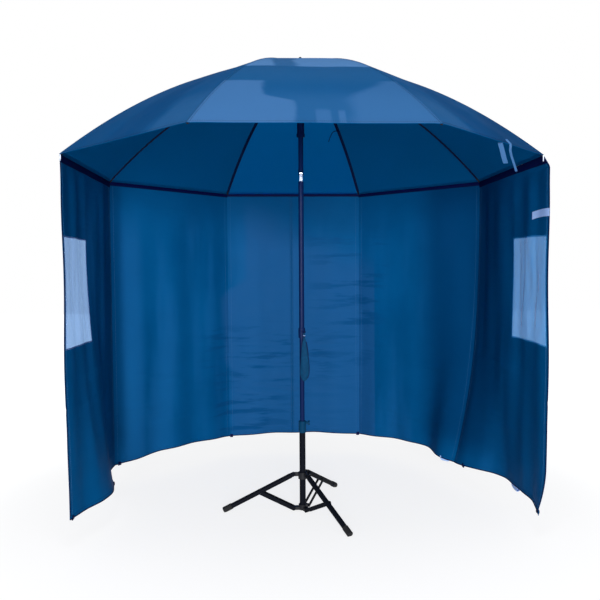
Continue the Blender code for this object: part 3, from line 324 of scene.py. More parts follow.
def painted_crown_reflection(wires):
    """A painted reflection: a pale band across the front gore, below the crown."""
    gore, forward, aside = front_gore(wires)
    wander = ragged(wires, 6.0, 3, 0.08)
    gap = 1 - (abs(aside + 0.09) * -1 + wander).between(-0.06, -0.03) * 0.8
    upper_edge = (forward + wander).between(0.24, 0.38)
    lower_edge = (forward * -1 + wander * 0.3).between(-0.607, -0.585)
    return gore * gap * upper_edge * lower_edge


def beside_front(wires):
    """The two gores beside the front one: how far a point lies across them and out along them."""
    aside, depth = places(wires, 2)
    reach = abs(aside)
    return reach + depth, reach - depth


def painted_gore_shade(wires):
    """Painted shade: a darker streak down the middle of each gore beside the front one."""
    across, along = beside_front(wires)
    wander = ragged(wires, 3.0, 3, 0.16)
    inner = (across + along * 0.16 + wander).between(0.00, 0.05)
    outer = (along * 0.12 - across + wander).between(0.00, 0.05)
    return inner * outer * along.between(0.2, 0.4) * 0.8


def rim_reflection_and_flecks(wires):
    """Pale cloth low beside the front ridges, a painted reflection, and pale flecks all over."""
    across, along = beside_front(wires)
    low = place_along(wires, 2).under(1.76, 1.87)
    flecks = wires.noise(stretched(wires, (4, 4, 1)), 16.0, 2).between(0.66, 0.74)
    return (along * -0.17 - across).between(0.00, 0.08) * low * 0.8 + flecks * 0.25


def painted_right_shade(wires):
    """Painted shade on the lowest part of the front right gore."""
    aside, depth, height = places(wires)
    return aside.between(0.66, 0.76) * depth.under(-0.20, -0.10) * height.under(1.82, 1.90) * 0.7


def back_gore(wires):
    """The gore at the back, which light reaches best."""
    aside, depth = places(wires, 2)
    return wedge(depth, aside)


def gore_glow(wires):
    """Light through the underside: most through the back gore, least through the two at the sides."""
    aside, depth = places(wires, 2)
    ends = wedge(abs(aside), depth)
    return back_gore(wires) * 0.42 + 0.38 - ends * 0.10


# %% Marks on the curtain
def painted_fold_highlights(wires):
    """Painted highlights of the hanging folds: pale upright streaks, and one beside the back left corner.
    """
    aside, depth, height = places(wires)
    streaks = wires.noise(stretched(wires, (1, 1, 0.15)), 5.5, 3).between(0.46, 0.70)
    beside = depth.between(0.43, 0.47) * depth.under(0.52, 0.58) * aside.under(-0.86, -0.80)
    return (streaks * 0.45).at_least(beside * 0.55) * height.under(1.30, 1.62)


def painted_middle_light(wires):
    """Painted light on the middle back panel, from a hand's width under the rim down, below the canopy's
    shade.
    """
    aside, depth, height = places(wires)
    wander = ragged(wires, 4.0, 3, 0.08, (1, 1, 0.6))
    left_reach = 0.47 - height.between(1.00, 1.15) * 0.14 - height.under(0.52, 0.62) * 0.05
    left = (aside + left_reach + wander).between(-0.01, 0.05)
    right = (0.512 - aside + wander * 0.1).between(0.000, 0.012)
    below = (height * -1 + wander * 2 - aside * 0.45).between(-1.56, -1.28)
    return left * right * depth.between(0.66, 0.74) * below * 0.95


def middle_seam(wires):
    """The doubled cloth of the seam down the middle of the back, which lets no light through."""
    aside, depth = places(wires, 2)
    return abs(aside - SEAM_PLACE).under(0.0040, 0.0140) * depth.between(0.80, 0.90) * 0.7


def painted_crease_shade(wires):
    """Painted shade in level creases that the cloth kept from its bag, low on the back's left and high on
    its right.
    """
    aside, depth, height = places(wires)
    lines = wires.noise(stretched(wires, (0.7, 0.7, 6.5)), 4.6, 4, 0.6).between(0.50, 0.62)
    patches = wires.noise(stretched(wires), 2.6, 2).between(0.38, 0.56)
    low_left = height.under(0.72, 0.92) * aside.under(-0.06, 0.02)
    right = height.under(1.40, 1.52) * height.between(0.35, 0.60) * aside.between(0.05, 0.14)
    place = low_left.at_least(right * 0.85) * depth.between(0.80, 0.95)
    return lines * (patches * 0.5 + 0.5) * place * 0.95


def painted_corner_shade(wires):
    """Painted shade at the two back corners, where the cloth lies folded together."""
    aside, depth, height = places(wires)
    right = aside.between(0.68, 0.84) * depth.between(0.00, 0.20)
    left = aside.under(-0.98, -0.92) * depth.between(0.22, 0.36) * depth.under(0.44, 0.50)
    return (right * 0.75).at_least(left * 0.6) * height.between(0.10, 0.30)


# %% [markdown]
# Each face of the cloth takes its two tones and its marks, in the order in which they are laid over one
# another. Then come its roughness and shine, the colour and the share of the light that comes through,
# and how deep its creases are.

# %% The four faces of the cloth
# Of the outside's marks, the darker streaks and the low right corner are painted shade, and the pale
# patches, bars and band and the pale cloth beside the front ridges are painted reflections.
CANOPY_OUTSIDE = coated_cloth(
    "canopy_outside", ((0.0022, 0.056, 0.163), (0.0040, 0.070, 0.198)),
    [(painted_gore_shade, (0.0005, 0.045, 0.140)), (rim_reflection_and_flecks, (0.020, 0.095, 0.230)),
     (painted_right_shade, (0.0005, 0.034, 0.105)), (paler_upper_front, (0.012, 0.078, 0.194)),
     (painted_front_reflections, (0.047, 0.139, 0.308)), (painted_crown_reflection, (0.078, 0.196, 0.400))],
    0.46, 0.012, (0.02, 0.50, 0.85), 0.35, 0.0006)
# The paler back gore inside is painted light: it stands for the light that reaches that gore best.
CANOPY_INSIDE = coated_cloth(
    "canopy_inside", ((0.000, 0.060, 0.170), (0.000, 0.075, 0.210)),
    [(back_gore, (0.001, 0.115, 0.270))],
    0.62, 0.02, (0.00, 0.50, 0.85), gore_glow, 0.0030)
# On both curtain faces the pale upright streaks are painted highlights. On the inside, the bright middle
# panel is painted light, and the creases and the two back corners are painted shade.
CURTAIN_OUTSIDE = coated_cloth(
    "curtain_outside", ((0.004, 0.074, 0.220), (0.007, 0.094, 0.265)),
    [(painted_fold_highlights, (0.020, 0.140, 0.360))],
    0.50, 0.04, (0.01, 0.18, 0.40), 0.10, 0.0060)
CURTAIN_INSIDE = coated_cloth(
    "curtain_inside", ((0.000, 0.070, 0.205), (0.001, 0.092, 0.260)),
    [(painted_fold_highlights, (0.010, 0.120, 0.330)), (painted_middle_light, (0.010, 0.093, 0.262)),
     (painted_crease_shade, (0.002, 0.066, 0.200)), (painted_corner_shade, (0.000, 0.034, 0.115)),
     (middle_seam, (0.000, 0.055, 0.165))],
    0.55, 0.02, (0.00, 0.24, 0.50), 0.15, 0.0060)
print("cloth finishes:", len(bpy.data.materials), "materials so far")

# %% [markdown]
# The windows are clear soft film with a blue tint. Film is never quite flat, so long upright ripples
# catch the light, and it is hazier along them. Mixing a see-through shader with a glossy one keeps it
# quick to render.


# %% Window film
def clear_film():
    material, wires, shader = blank("window_film")
    streaks = wires.noise(stretched(wires, (9, 9, 0.8)), 2.2, 4)
    scuffs = wires.noise(stretched(wires), 60.0, 4, 0.7)
    # The right window's film is painted darker and hazier than the left one: painted shade.
    shaded_right_film = place_along(wires, 0).between(-0.1, 0.1)
    film = streaks.colour((0.19, 0.34, 0.66), (0.27, 0.43, 0.72))
    feed(shaded_right_film.over(film, (0.05, 0.36, 0.76)), shader, "Base Color")
    feed(scuffs * 0.18 + 0.08, shader, "Roughness")
    feed(bump(wires, streaks, 0.002, 0.3), shader, "Normal")
    clear = wires.add("ShaderNodeBsdfTransparent", None, {"Color": (0.62, 0.78, 0.97, 1)})
    haze = streaks.between(0.3, 0.8) * 0.12 + 0.26 + shaded_right_film * 0.22
    show_mixed(haze, clear, Wire(wires.tree, shader.outputs[0]))
    return material


WINDOW_FILM = clear_film()
print("made", WINDOW_FILM.name)

# %% [markdown]
# Tapes and webbing are coarser than cloth: a ribbed weave across their width. Thread, the pouch and the
# dark binding of the rim are made with the same recipe in other colours.


# %% Webbing
def webbing(name, light, dark, rough, pitch=0.0016):
    material, wires, shader = blank(name)
    metres = stretched(wires)
    tone = wires.noise(metres, 60.0, 4)
    feed(tone.colour(dark, light), shader, "Base Color")
    feed(tone * 0.12 + (rough - 0.06), shader, "Roughness")
    ribs = {"wave_type": "BANDS", "bands_direction": "DIAGONAL"}
    ribbed = wires.add("ShaderNodeTexWave", ribs, {"Vector": metres, "Scale": 0.05 / pitch}, 1)
    feed(bump(wires, ribbed, 0.0002, 0.5), shader, "Normal")
    shader.inputs["Specular IOR Level"].default_value = 0.08
    return material


BINDING = webbing("rim_binding", (0.0006, 0.0030, 0.0500), (0.0003, 0.0015, 0.0320), 0.70)
THREAD = webbing("thread", (0.070, 0.200, 0.420), (0.045, 0.150, 0.340), 0.60, 0.0005)
HEM_THREAD = webbing("hem_thread", (0.006, 0.040, 0.130), (0.004, 0.030, 0.100), 0.60, 0.0005)
PALE_WEBBING = webbing("pale_webbing", (0.450, 0.640, 1.000), (0.370, 0.540, 0.920), 0.55)
TIE_TAPE = webbing("tie_tape", (0.045, 0.125, 0.270), (0.024, 0.085, 0.210), 0.55)
RIB_TAPE = webbing("rib_tape", (0.0006, 0.0120, 0.0650), (0.0003, 0.0070, 0.0450), 0.65)
POUCH_CLOTH = webbing("pouch_cloth", (0.001, 0.052, 0.125), (0.001, 0.020, 0.062), 0.75, 0.0010)
DARK_CORD = webbing("dark_cord", (0.003, 0.012, 0.060), (0.002, 0.007, 0.040), 0.60, 0.0010)
print("tapes and thread:", len(bpy.data.materials), "materials so far")

# %% [markdown]
# Painted tubes are glossy where they are clean and duller where hands and clamps rub them. Plastic,
# rubber and metal are made in the same way, with their own colours, grain and gloss.


# %% Paint, plastic and metal
def painted(name, colour, worn_colour, rough, metallic=0.0, grain=0.0, shine=0.2):
    material, wires, shader = blank(name)
    metres = stretched(wires, (1, 1, 0.35))
    marks = wires.noise(metres, 45.0, 6, 0.65).between(0.62, 0.78)
    cloudy = wires.noise(metres, 7.0, 3)
    feed((marks * 0.6 + cloudy * 0.15).colour(colour, worn_colour), shader, "Base Color")
    feed(marks * 0.2 + cloudy * 0.08 + (rough - 0.04), shader, "Roughness")
    shader.inputs["Metallic"].default_value = metallic
    shader.inputs["Specular IOR Level"].default_value = shine
    pits = wires.noise(stretched(wires), 420.0, 3)
    feed(bump(wires, pits, 0.0001 + grain, 0.25), shader, "Normal")
    return material


POLE_PAINT = painted("pole_paint", (0.0022, 0.0100, 0.0550), (0.0060, 0.0260, 0.1050), 0.24, shine=0.06)
STAND_PAINT = painted("stand_paint", (0.0035, 0.0045, 0.0080), (0.0140, 0.0160, 0.0220), 0.50, shine=0.03)
DARK_STEEL = painted("dark_steel", (0.0050, 0.0070, 0.0250), (0.0400, 0.0450, 0.0600), 0.30, 0.6)
RIB_FIBRE = painted("rib_fibre", (0.0020, 0.0040, 0.0260), (0.0080, 0.0100, 0.0400), 0.35)
BLACK_PLASTIC = painted("black_plastic", (0.0060, 0.0068, 0.0100), (0.0220, 0.0240, 0.0300), 0.45,
                        grain=0.0002)
WHITE_PLASTIC = painted("white_plastic", (0.620, 0.680, 0.820), (0.450, 0.500, 0.620), 0.35)
SLATE_PLASTIC = painted("slate_plastic", (0.0010, 0.0330, 0.0850), (0.0040, 0.0500, 0.1150), 0.50,
                        grain=0.0002, shine=0.04)
CHROME = painted("chrome", (0.620, 0.680, 0.800), (0.420, 0.460, 0.560), 0.16, 1.0)
RUBBER = painted("rubber", (0.0100, 0.0105, 0.0120), (0.0300, 0.0300, 0.0320), 0.80, grain=0.0003)
print("paint, plastic and metal:", len(bpy.data.materials), "materials so far")

# %% [markdown]
# The solids that stay visible take these finishes in place of the plain ones that they came with.

# %% Finishes of the hard parts
FINISHES = {
    POLE_PAINT: ["top_tube", "tilt_fork", "mid_pole", "lower_pole", "runner", "pole_clamp",
                 "pole_clamp_knob"],
    SLATE_PLASTIC: ["stand_clamp", "stand_clamp_knob"],
    STAND_PAINT: ["stand_tube", "leg_1", "leg_2", "leg_3", "strut_1", "strut_2", "strut_3"],
    DARK_STEEL: [f"stretcher_{number}" for number in range(1, RIB_COUNT + 1)],
    RIB_FIBRE: [f"rib_{number}" for number in range(1, RIB_COUNT + 1)],
    CHROME: ["tilt_link", "tilt_pin", "tilt_button", "runner_catch"],
    RUBBER: ["foot_1", "foot_2", "foot_3"],
    BLACK_PLASTIC: ["finial", "top_notch", "leg_hub", "leg_hub_knob", "base_spider"],
}
for finish, names in FINISHES.items():
    for name in names:
        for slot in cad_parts[name].material_slots:
            slot.material = finish
print("refinished", sum(len(names) for names in FINISHES.values()), "solids")

# %% [markdown]
# ## Cloth from grids
#
# Each cloth is a grid of points on a curved surface, given a thickness and smooth shading. A grid keeps
# the threads of the weave in order: its rows and columns become the map that the weave follows.


# %% Cloth builder
STITCH_PITCH = 0.0075
STITCH_LENGTH = 0.0050
STITCH_WIDTH = 0.0011
STITCH_RISE = 0.45
STITCH_SINK = 0.2
STITCH_CROWN = 0.28
SHARP_EDGE = math.radians(50)
LOOP_THICKNESS = 0.0014
LOOP_OPENING = 0.22


class Pattern:
    """Gathers the sheets, tapes and stitches of one sewn piece into a single mesh."""

    def __init__(self):
        self.points = []
        self.faces = []
        self.slots = []
        self.threads = []
        self.materials = []

    def slot_of(self, material):
        if material not in self.materials:
            self.materials.append(material)
        return self.materials.index(material)

    def add_face(self, corners, slot, thread=None):
        self.faces.append(corners)
        self.slots.append(slot)
        self.threads.append(thread or [(0.0, 0.0)] * len(corners))

    def shell(self, surface, thickness, outer, inner, normal, holes=None):
        """A sheet from rows of points, with its outer face on them and its thickness behind it."""
        rows, columns = surface.shape[:2]
        start = len(self.points)
        self.points += [tuple(p) for p in surface.reshape(-1, 3)]
        self.points += [tuple(p) for p in (surface - normal * thickness).reshape(-1, 3)]
        back = rows * columns
        u, v = thread_map(surface)
        front_slot, back_slot = self.slot_of(outer), self.slot_of(inner)
        kept = np.ones((rows - 1, columns - 1), bool)
        if holes is not None:
            kept &= ~holes
        for row, column in zip(*np.nonzero(kept)):
            cell = [(row, column), (row + 1, column), (row + 1, column + 1), (row, column + 1)]
            index = [start + r * columns + c for r, c in cell]
            thread = [(u[r, c], v[r, c]) for r, c in cell]
            self.add_face(index, front_slot, thread)
            self.add_face([i + back for i in reversed(index)], back_slot, thread[::-1])
        self.close_edges(kept, start, columns, back, back_slot)

    def layer(self, surface, normal, behind, thickness, outer, inner=None):
        """One more sheet, whose outer face lies a set distance behind a surface."""
        self.shell(surface - normal * behind, thickness, outer, inner or outer, normal)

    def close_edges(self, kept, start, columns, back, slot):
        """Joins the two faces of a sheet along each open edge."""
        padded = np.pad(kept, 1)
        for row, column in zip(*np.nonzero(kept)):
            a = start + row * columns + column
            b = a + 1
            c, d = a + columns, b + columns
            edges = (
                (padded[row, column + 1], a, b),
                (padded[row + 2, column + 1], d, c),
                (padded[row + 1, column], c, a),
                (padded[row + 1, column + 2], b, d),
            )
            for neighbour, first, second in edges:
                if not neighbour:
                    self.add_face([second, first, first + back, second + back][::-1], slot)

    def stitches(self, line, lift, material, above=0.0):
        """A row of short raised stitches above a line of points, with lift the way out of the cloth."""
        line = line + lift * above
        reach = reach_along(line)
        slot = self.slot_of(material)
        starts = np.arange(STITCH_PITCH / 2, reach[-1] - STITCH_LENGTH, STITCH_PITCH)
        firsts = at_reach(starts, reach, line)
        lasts = at_reach(starts + STITCH_LENGTH, reach, line)
        ups = at_reach(starts, reach, lift)
        for first, last, up in zip(firsts, lasts, ups):
            along = (last - first) / np.linalg.norm(last - first)
            side = np.cross(up, along) * STITCH_WIDTH / 2
            crown = (first + last) / 2 + up * STITCH_WIDTH * STITCH_RISE
            half_crown = along * STITCH_LENGTH * STITCH_CROWN
            base = len(self.points)
            for corner in (first - side, first + side, last + side, last - side):
                self.points.append(tuple(corner - up * STITCH_WIDTH * STITCH_SINK))
            self.points += [tuple(crown - half_crown), tuple(crown + half_crown)]
            for face in ((0, 1, 4), (1, 2, 5, 4), (2, 3, 5), (3, 0, 4, 5), (3, 2, 1, 0)):
                self.add_face([base + i for i in face], slot)

    def tube(self, path, radii, material, sides=10, flatness=1.0, across=(1, 0, 0)):
        """A round or flattened bar along a path: a radius for each point, or for each of its sides."""
        path = np.array(path, float)
        radii = np.array(radii, float).reshape(len(path), -1)
        along = np.gradient(path, axis=0)
        along /= np.linalg.norm(along, axis=1, keepdims=True)
        wide = np.array(across) - (along @ np.array(across))[:, None] * along
        wide /= np.linalg.norm(wide, axis=1, keepdims=True)
        thick = np.cross(along, wide)
        angles = np.linspace(0, 2 * math.pi, sides, endpoint=False)
        cosines, sines = np.cos(angles)[None, :, None], np.sin(angles)[None, :, None]
        ring = cosines * wide[:, None] + flatness * sines * thick[:, None]
        rings = path[:, None] + radii[:, :, None] * ring
        start = len(self.points)
        slot = self.slot_of(material)
        self.points += [tuple(point) for point in rings.reshape(-1, 3)]
        reach = reach_along(path)
        for row in range(len(path) - 1):
            for side in range(sides):
                corners = [(row, side), (row, side + 1), (row + 1, side + 1), (row + 1, side)]
                thread = [(angles[1] * c * radii.max(), reach[r]) for r, c in corners]
                self.add_face([start + r * sides + c % sides for r, c in corners], slot, thread)
        self.add_face([start + side for side in reversed(range(sides))], slot)
        self.add_face([start + (len(path) - 1) * sides + side for side in range(sides)], slot)

    def ribbon(self, path, across, width, thickness, material):
        """A flat tape along a path, across which it is level: one width, or one for each point."""
        path = np.array(path, float)
        widths = np.broadcast_to(width, len(path))[:, None, None]
        shares = np.array([-0.5, 0, 0.5])[None, :, None]
        grid = path[:, None] + np.array(across)[None, None] * shares * widths
        self.shell(grid, thickness, material, material, grid_normals(grid))

    def peg_loop(self, place, across, outward, drop, width, material, roundness):
        """A loop of webbing that hangs below a hem, narrower towards its foot by its roundness."""
        turns = np.linspace(0.02, 0.98, 15) * 2 * math.pi
        fall = (1 - np.cos(turns)) / 2
        out = np.sin(turns)[:, None] * np.array(outward) * drop * LOOP_OPENING
        path = np.array(place) + out + np.array([[0, 0, -1]]) * drop * fall[:, None]
        self.ribbon(path, across, width * (1 - roundness * fall**2), LOOP_THICKNESS, material)

    def build(self, name):
        mesh = bpy.data.meshes.new(name)
        mesh.from_pydata(self.points, [], self.faces)
        for material in self.materials:
            mesh.materials.append(material)
        mesh.polygons.foreach_set("material_index", self.slots)
        mesh.polygons.foreach_set("use_smooth", [True] * len(self.faces))
        layer = mesh.uv_layers.new(name="cloth")
        flat = [value for thread in self.threads for pair in thread for value in pair]
        layer.data.foreach_set("uv", flat)
        mesh.update()
        mesh.set_sharp_from_angle(angle=SHARP_EDGE)
        piece = bpy.data.objects.new(name, mesh)
        bpy.context.scene.collection.objects.link(piece)
        return piece


def reach_along(line):
    """How far along a line of points each of them lies."""
    return np.concatenate([[0], np.cumsum(np.linalg.norm(np.diff(line, axis=0), axis=1))])


def at_reach(distances, reach, line):
    """The points of a line at set distances along it."""
    return np.array([np.interp(distances, reach, line[:, axis]) for axis in range(3)]).T


def grid_normals(surface):
    """The outward normal at each point of a grid of rows down and columns across."""
    down = np.gradient(surface, axis=0)
    across = np.gradient(surface, axis=1)
    normal = np.cross(down, across)
    return normal / np.maximum(np.linalg.norm(normal, axis=2, keepdims=True), 1e-12)


def thread_map(surface):
    """How far along the weave each point of a grid lies, in metres."""
    rows, columns = surface.shape[:2]
    u = np.zeros((rows, columns))
    v = np.zeros((rows, columns))
    u[:, 1:] = np.cumsum(np.linalg.norm(np.diff(surface, axis=1), axis=2), axis=1)
    v[1:, :] = np.cumsum(np.linalg.norm(np.diff(surface, axis=0), axis=2), axis=0)
    return u - u[:, -1:] / 2, v


def swell(points, scale, seed):
    """A smooth random height for each point, from -1 to 1, the same on every run."""
    flat = points.reshape(-1, 3) / scale + seed
    heights = [noise.noise(Vector(point)) for point in flat]
    return np.array(heights).reshape(points.shape[:2])


# %% [markdown]
# ## Canopy
#
# Real canopies are cut as gores, one between each pair of ribs, and sewn together over the ribs. Here each
# piece is the cloth that one rib carries: half a gore on either side of it. The pieces meet along the
# middle of the gores, where nothing is sewn, so their surfaces and their normals have to agree there.
# Both halves of a gore are therefore read from one and the same formula.


# %% Canopy surface
SEAM_DIP = 0.0012
DIP_REACH = 0.02
DIP_START = 0.006
SEAM_PUCKER = 0.0011
PUCKER_PITCH = 0.034
PUCKER_REACH = 0.055
PUCKER_START = 0.01
PUCKER_SHIFT = 1.7
PUCKER_SCALE = 0.2
PUCKER_SEED = 8.0
DRAPE_HEIGHT = 0.0035
DRAPE_SCALE = 0.26
DRAPE_SEED = 3.1
TAUT_BESIDE_RIB = 0.12
TAUT_CROWN = 0.25
NUDGE = 0.001


def rib_azimuth(number):
    return -math.pi / 2 + HALF_GORE + 2 * HALF_GORE * (number - 1)


def dome_height(share):
    return CROWN_HEIGHT - (CROWN_HEIGHT - RIM_HEIGHT) * share**CROWN_POWER


def flat_canopy(number, share, side):
    """The cloth near one rib before it drapes: share of the way to the rim, side from -1 to 1 across."""
    azimuth = rib_azimuth(number)
    half = CANOPY_RADIUS * share * math.sin(HALF_GORE)
    radial = CANOPY_RADIUS * share - np.abs(side) * half * math.sin(HALF_GORE)
    across = side * half * math.cos(HALF_GORE)
    x = radial * math.cos(azimuth) - across * math.sin(azimuth)
    y = radial * math.sin(azimuth) + across * math.cos(azimuth)
    return np.stack([x, y, dome_height(share) + 0 * side], axis=2)


def canopy_grid(number, shares, sides):
    """Rows of points of the draped cloth near one rib, and the way out of the cloth at each."""
    share = np.array(shares)[:, None]
    side = np.array(sides)[None, :]
    flat = flat_canopy(number, share, side)
    down = flat_canopy(number, share + NUDGE, side) - flat
    sideways = np.where(side < 0, -NUDGE, NUDGE)
    across = (flat_canopy(number, share, side + sideways) - flat) * np.sign(sideways)[:, :, None]
    outward = np.cross(down, across)
    outward /= np.linalg.norm(outward, axis=2, keepdims=True)
    away = np.abs(side) * CANOPY_RADIUS * share * math.sin(HALF_GORE)
    free = np.minimum(1, away / TAUT_BESIDE_RIB) * np.minimum(1, share / TAUT_CROWN)
    drape = DRAPE_HEIGHT * free * (1 - 0.5 * share**6) * swell(flat, DRAPE_SCALE, DRAPE_SEED)
    turns = share * CANOPY_RADIUS * 2 * math.pi / PUCKER_PITCH
    ripple = np.sin(turns + PUCKER_SHIFT * swell(flat, PUCKER_SCALE, PUCKER_SEED))
    pucker = SEAM_PUCKER * ripple * np.exp(-away / PUCKER_REACH) * np.minimum(1, away / PUCKER_START)
    dip = -SEAM_DIP * np.exp(-((away / DIP_REACH) ** 2)) * np.minimum(1, away / DIP_START)
    return flat + outward * (drape + pucker + dip)[:, :, None], outward


def canopy_rows(count):
    first = CROWN_HOLE / APOTHEM
    return [first + (1 - first) * (row / count) ** 0.9 for row in range(count + 1)]


print(f"halfway to the rim the canopy is {dome_height(0.5):.3f} m high")

# %% [markdown]
# Each seam is folded over and sewn down twice, which shows outside as a narrow raised band with a row of
# stitches on each side of the ridge. The rim is turned under into a hem.

# %% Canopy sizes
CANOPY_ROWS = 64
CANOPY_HALF_COLUMNS = 20
SEAM_START = 0.045
SEAM_BAND = 0.006
BAND_PLACES = np.array([-1, -0.9, -0.5, 0, 0.5, 0.9, 1])
BAND_LIFTS = np.array([0.0002, 0.0009, 0.0010, 0.0011, 0.0010, 0.0009, 0.0002])
BAND_STITCHES = (1, 5)
HEM_DEPTH = 0.016
HEM_PARTS = (1, 0.6, 0.2, 0)
HEM_STITCH_PART = 0.75
HEM_BEHIND = CLOTH * 1.4
HEM_THICKNESS = CLOTH * 1.6
UNDER_STITCH = 0.011
RIB_TAPE_SPAN = np.array([0.0034, 0.0066, 0.0098])
RIB_TAPE_GAP = 0.0002
RIB_TAPE_THICKNESS = 0.0006

half_sides = [(column / CANOPY_HALF_COLUMNS) ** 1.4 for column in range(CANOPY_HALF_COLUMNS + 1)]
sides = [-side for side in reversed(half_sides[1:])] + half_sides


def rim_share(distance):
    """The share of the way to the rim that lies a distance in from it."""
    steep = math.hypot(CANOPY_RADIUS, (CROWN_HEIGHT - RIM_HEIGHT) * CROWN_POWER)
    return 1 - distance / steep


def rim_point(number, side):
    return canopy_grid(number, [1.0], [side])[0][0, 0]


def along_seam(number, distances):
    """Rows of points at set distances from one ridge, from crown to rim, and the way out at each."""
    rows = []
    for share in canopy_rows(CANOPY_ROWS):
        if share > SEAM_START:
            half = CANOPY_RADIUS * share * math.sin(HALF_GORE)
            rows.append(canopy_grid(number, [share], [distance / half for distance in distances]))
    return np.array([row[0][0] for row in rows]), np.array([row[1][0] for row in rows])


print(f"each piece: {CANOPY_ROWS} rows of {len(sides) - 1} cells")

# %% [markdown]
# Three small things are tied to the canopy. Two tapes are sewn to the rim of one piece, to hold the curtain
# when it is rolled up, and a short dark cord is knotted round one of the back ribs.

# %% Ties of the canopy
TIED_SIDE = 2
TIE_FACING = (0.95, -0.31, 0.0)
TIE_TOP_SHARE = 0.4
TIE_THICKNESS = 0.0010
TIE_SLANT = 0.9
TIE_CLEARANCE = 0.0035
TIE_SWING = 0.004
TIE_CURLS = 5.0
# Each tie: its place across the rim, how far in it starts, its rise, drop, lean, curl and width
RIM_TIES = (
    (-0.93, 0.012, 0.0, 0.075, 0.045, 0.003, 0.018),
    (-0.80, -0.001, 0.020, 0.100, 0.050, -0.004, 0.009),
)
RIB_TIE = 4
TIE_SHARE = 0.575
TIE_DIAMETER = 0.0042
KNOT_REACH = 0.0045
KNOT_HEIGHT = 0.0032
KNOT_THICKNESS = 0.0032
TAIL_START = 0.006
TAIL_REACH = 0.056
TAIL_DROP = 0.055
TAIL_RISE = 0.010


def add_rim_ties(pattern, azimuth):
    """Two tapes at the rim that hold the rolled curtain: one hangs outside and one inside."""
    inward = -np.array([math.cos(azimuth - HALF_GORE), math.sin(azimuth - HALF_GORE), 0])
    along = np.cross((0, 0, 1), -inward)
    share = np.linspace(0, 1, 16)
    climb = np.maximum(0, 1 - share / TIE_TOP_SHARE) ** 0.8
    fall = np.maximum(0, share - TIE_TOP_SHARE) / (1 - TIE_TOP_SHARE)
    for side, start_in, rise, drop, lean, curl, width in RIM_TIES:
        path = rim_point(TIED_SIDE, side) + np.outer(climb * rise * TIE_SLANT + start_in, inward)
        path += np.outer(climb * rise - fall * drop, (0, 0, 1))
        outside = np.where(start_in > 0, 0.0, -TIE_CLEARANCE) * (share < 0.5)
        path += np.outer(outside - TIE_SWING * fall, inward)
        path += np.outer(lean * fall**1.3 + curl * np.sin(fall * TIE_CURLS), along)
        pattern.ribbon(path, TIE_FACING, width, TIE_THICKNESS, TIE_TAPE)


def tie_place():
    """Where the short tie goes round its rib, and the ways out from the pole and round the canopy."""
    azimuth = rib_azimuth(RIB_TIE)
    ridge = canopy_grid(RIB_TIE, [TIE_SHARE], [0.0])[0][0, 0]
    radial = np.array([math.cos(azimuth), math.sin(azimuth), 0])
    around = np.array([-math.sin(azimuth), math.cos(azimuth), 0])
    return ridge - np.array([0, 0, TIE_DIAMETER]), radial, around


def add_tie_knot(pattern):
    below, radial, around = tie_place()
    turns = np.linspace(0, 2 * math.pi, 13)
    knot = below + np.outer(np.cos(turns), around) * KNOT_REACH
    knot += np.outer(np.sin(turns), (0, 0, 1)) * KNOT_HEIGHT
    pattern.tube(knot, [KNOT_THICKNESS / 2] * len(knot), DARK_CORD, 7, across=radial)


def make_tie_tail():
    """The free end of the tie, which hangs in a curve beside its rib."""
    below, radial, around = tie_place()
    share = np.linspace(0, 1, 18)
    tail = below - np.array([0, 0, TAIL_START]) + np.outer(share**0.8, around) * TAIL_REACH
    tail += np.outer(-TAIL_DROP * share**1.8 + TAIL_RISE * np.sin(math.pi * share), (0, 0, 1))
    pattern = Pattern()
    pattern.tube(tail, [TIE_DIAMETER / 2] * len(tail), DARK_CORD, 8, across=radial)
    cord = pattern.build("rib_tie")
    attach(cord, f"rib_{RIB_TIE}")


# %% [markdown]
# With all sizes set, each piece is put together in this order: the cloth first, then the band over the
# ridge, the tapes on both sides of the rib below it, and at last the hem and what is tied on.


# %% Canopy pieces
def add_rim_hem(pattern, number):
    """The edge turned under at the rim, and the stitches that hold it."""
    shares = [rim_share(HEM_DEPTH * part) for part in HEM_PARTS]
    hem, outward = canopy_grid(number, shares, sides)
    pattern.layer(hem, outward, HEM_BEHIND, HEM_THICKNESS, CANOPY_INSIDE)
    stitched, outward = canopy_grid(number, [rim_share(HEM_DEPTH * HEM_STITCH_PART)], sides)
    pattern.stitches(stitched[0], outward[0], HEM_THREAD)


def make_canopy_piece(number):
    pattern = Pattern()
    grid, outward = canopy_grid(number, canopy_rows(CANOPY_ROWS), sides)
    pattern.shell(grid, CLOTH, CANOPY_OUTSIDE, CANOPY_INSIDE, outward)
    ridge, outward = along_seam(number, SEAM_BAND * BAND_PLACES)
    band = ridge + outward * BAND_LIFTS[None, :, None]
    pattern.shell(band, CLOTH, CANOPY_OUTSIDE, CANOPY_INSIDE, outward)
    for column in BAND_STITCHES:
        pattern.stitches(band[:, column], outward[:, column], HEM_THREAD)
    for distances in (-RIB_TAPE_SPAN[::-1], RIB_TAPE_SPAN):
        tape, outward = along_seam(number, distances)
        pattern.layer(tape, outward, CLOTH + RIB_TAPE_GAP, RIB_TAPE_THICKNESS, RIB_TAPE)
    for distance in (-UNDER_STITCH, UNDER_STITCH):
        line, outward = along_seam(number, [distance])
        pattern.stitches(line[:, 0], -outward[:, 0], THREAD, CLOTH)
    add_rim_hem(pattern, number)
    azimuth = rib_azimuth(number)
    if number == TIED_SIDE:
        add_rim_ties(pattern, azimuth)
    if number == RIB_TIE:
        add_tie_knot(pattern)
    piece = pattern.build(f"canopy_cloth_{number}")
    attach(piece, f"rib_{number}")
    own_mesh(piece)
    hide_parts(f"canopy_panel_{number}")
    return piece


# Over the dome, with the hem: down the middle of a gore, and along its ridge
for number in range(1, RIB_COUNT + 1):
    cloth = make_canopy_piece(number)
make_tie_tail()

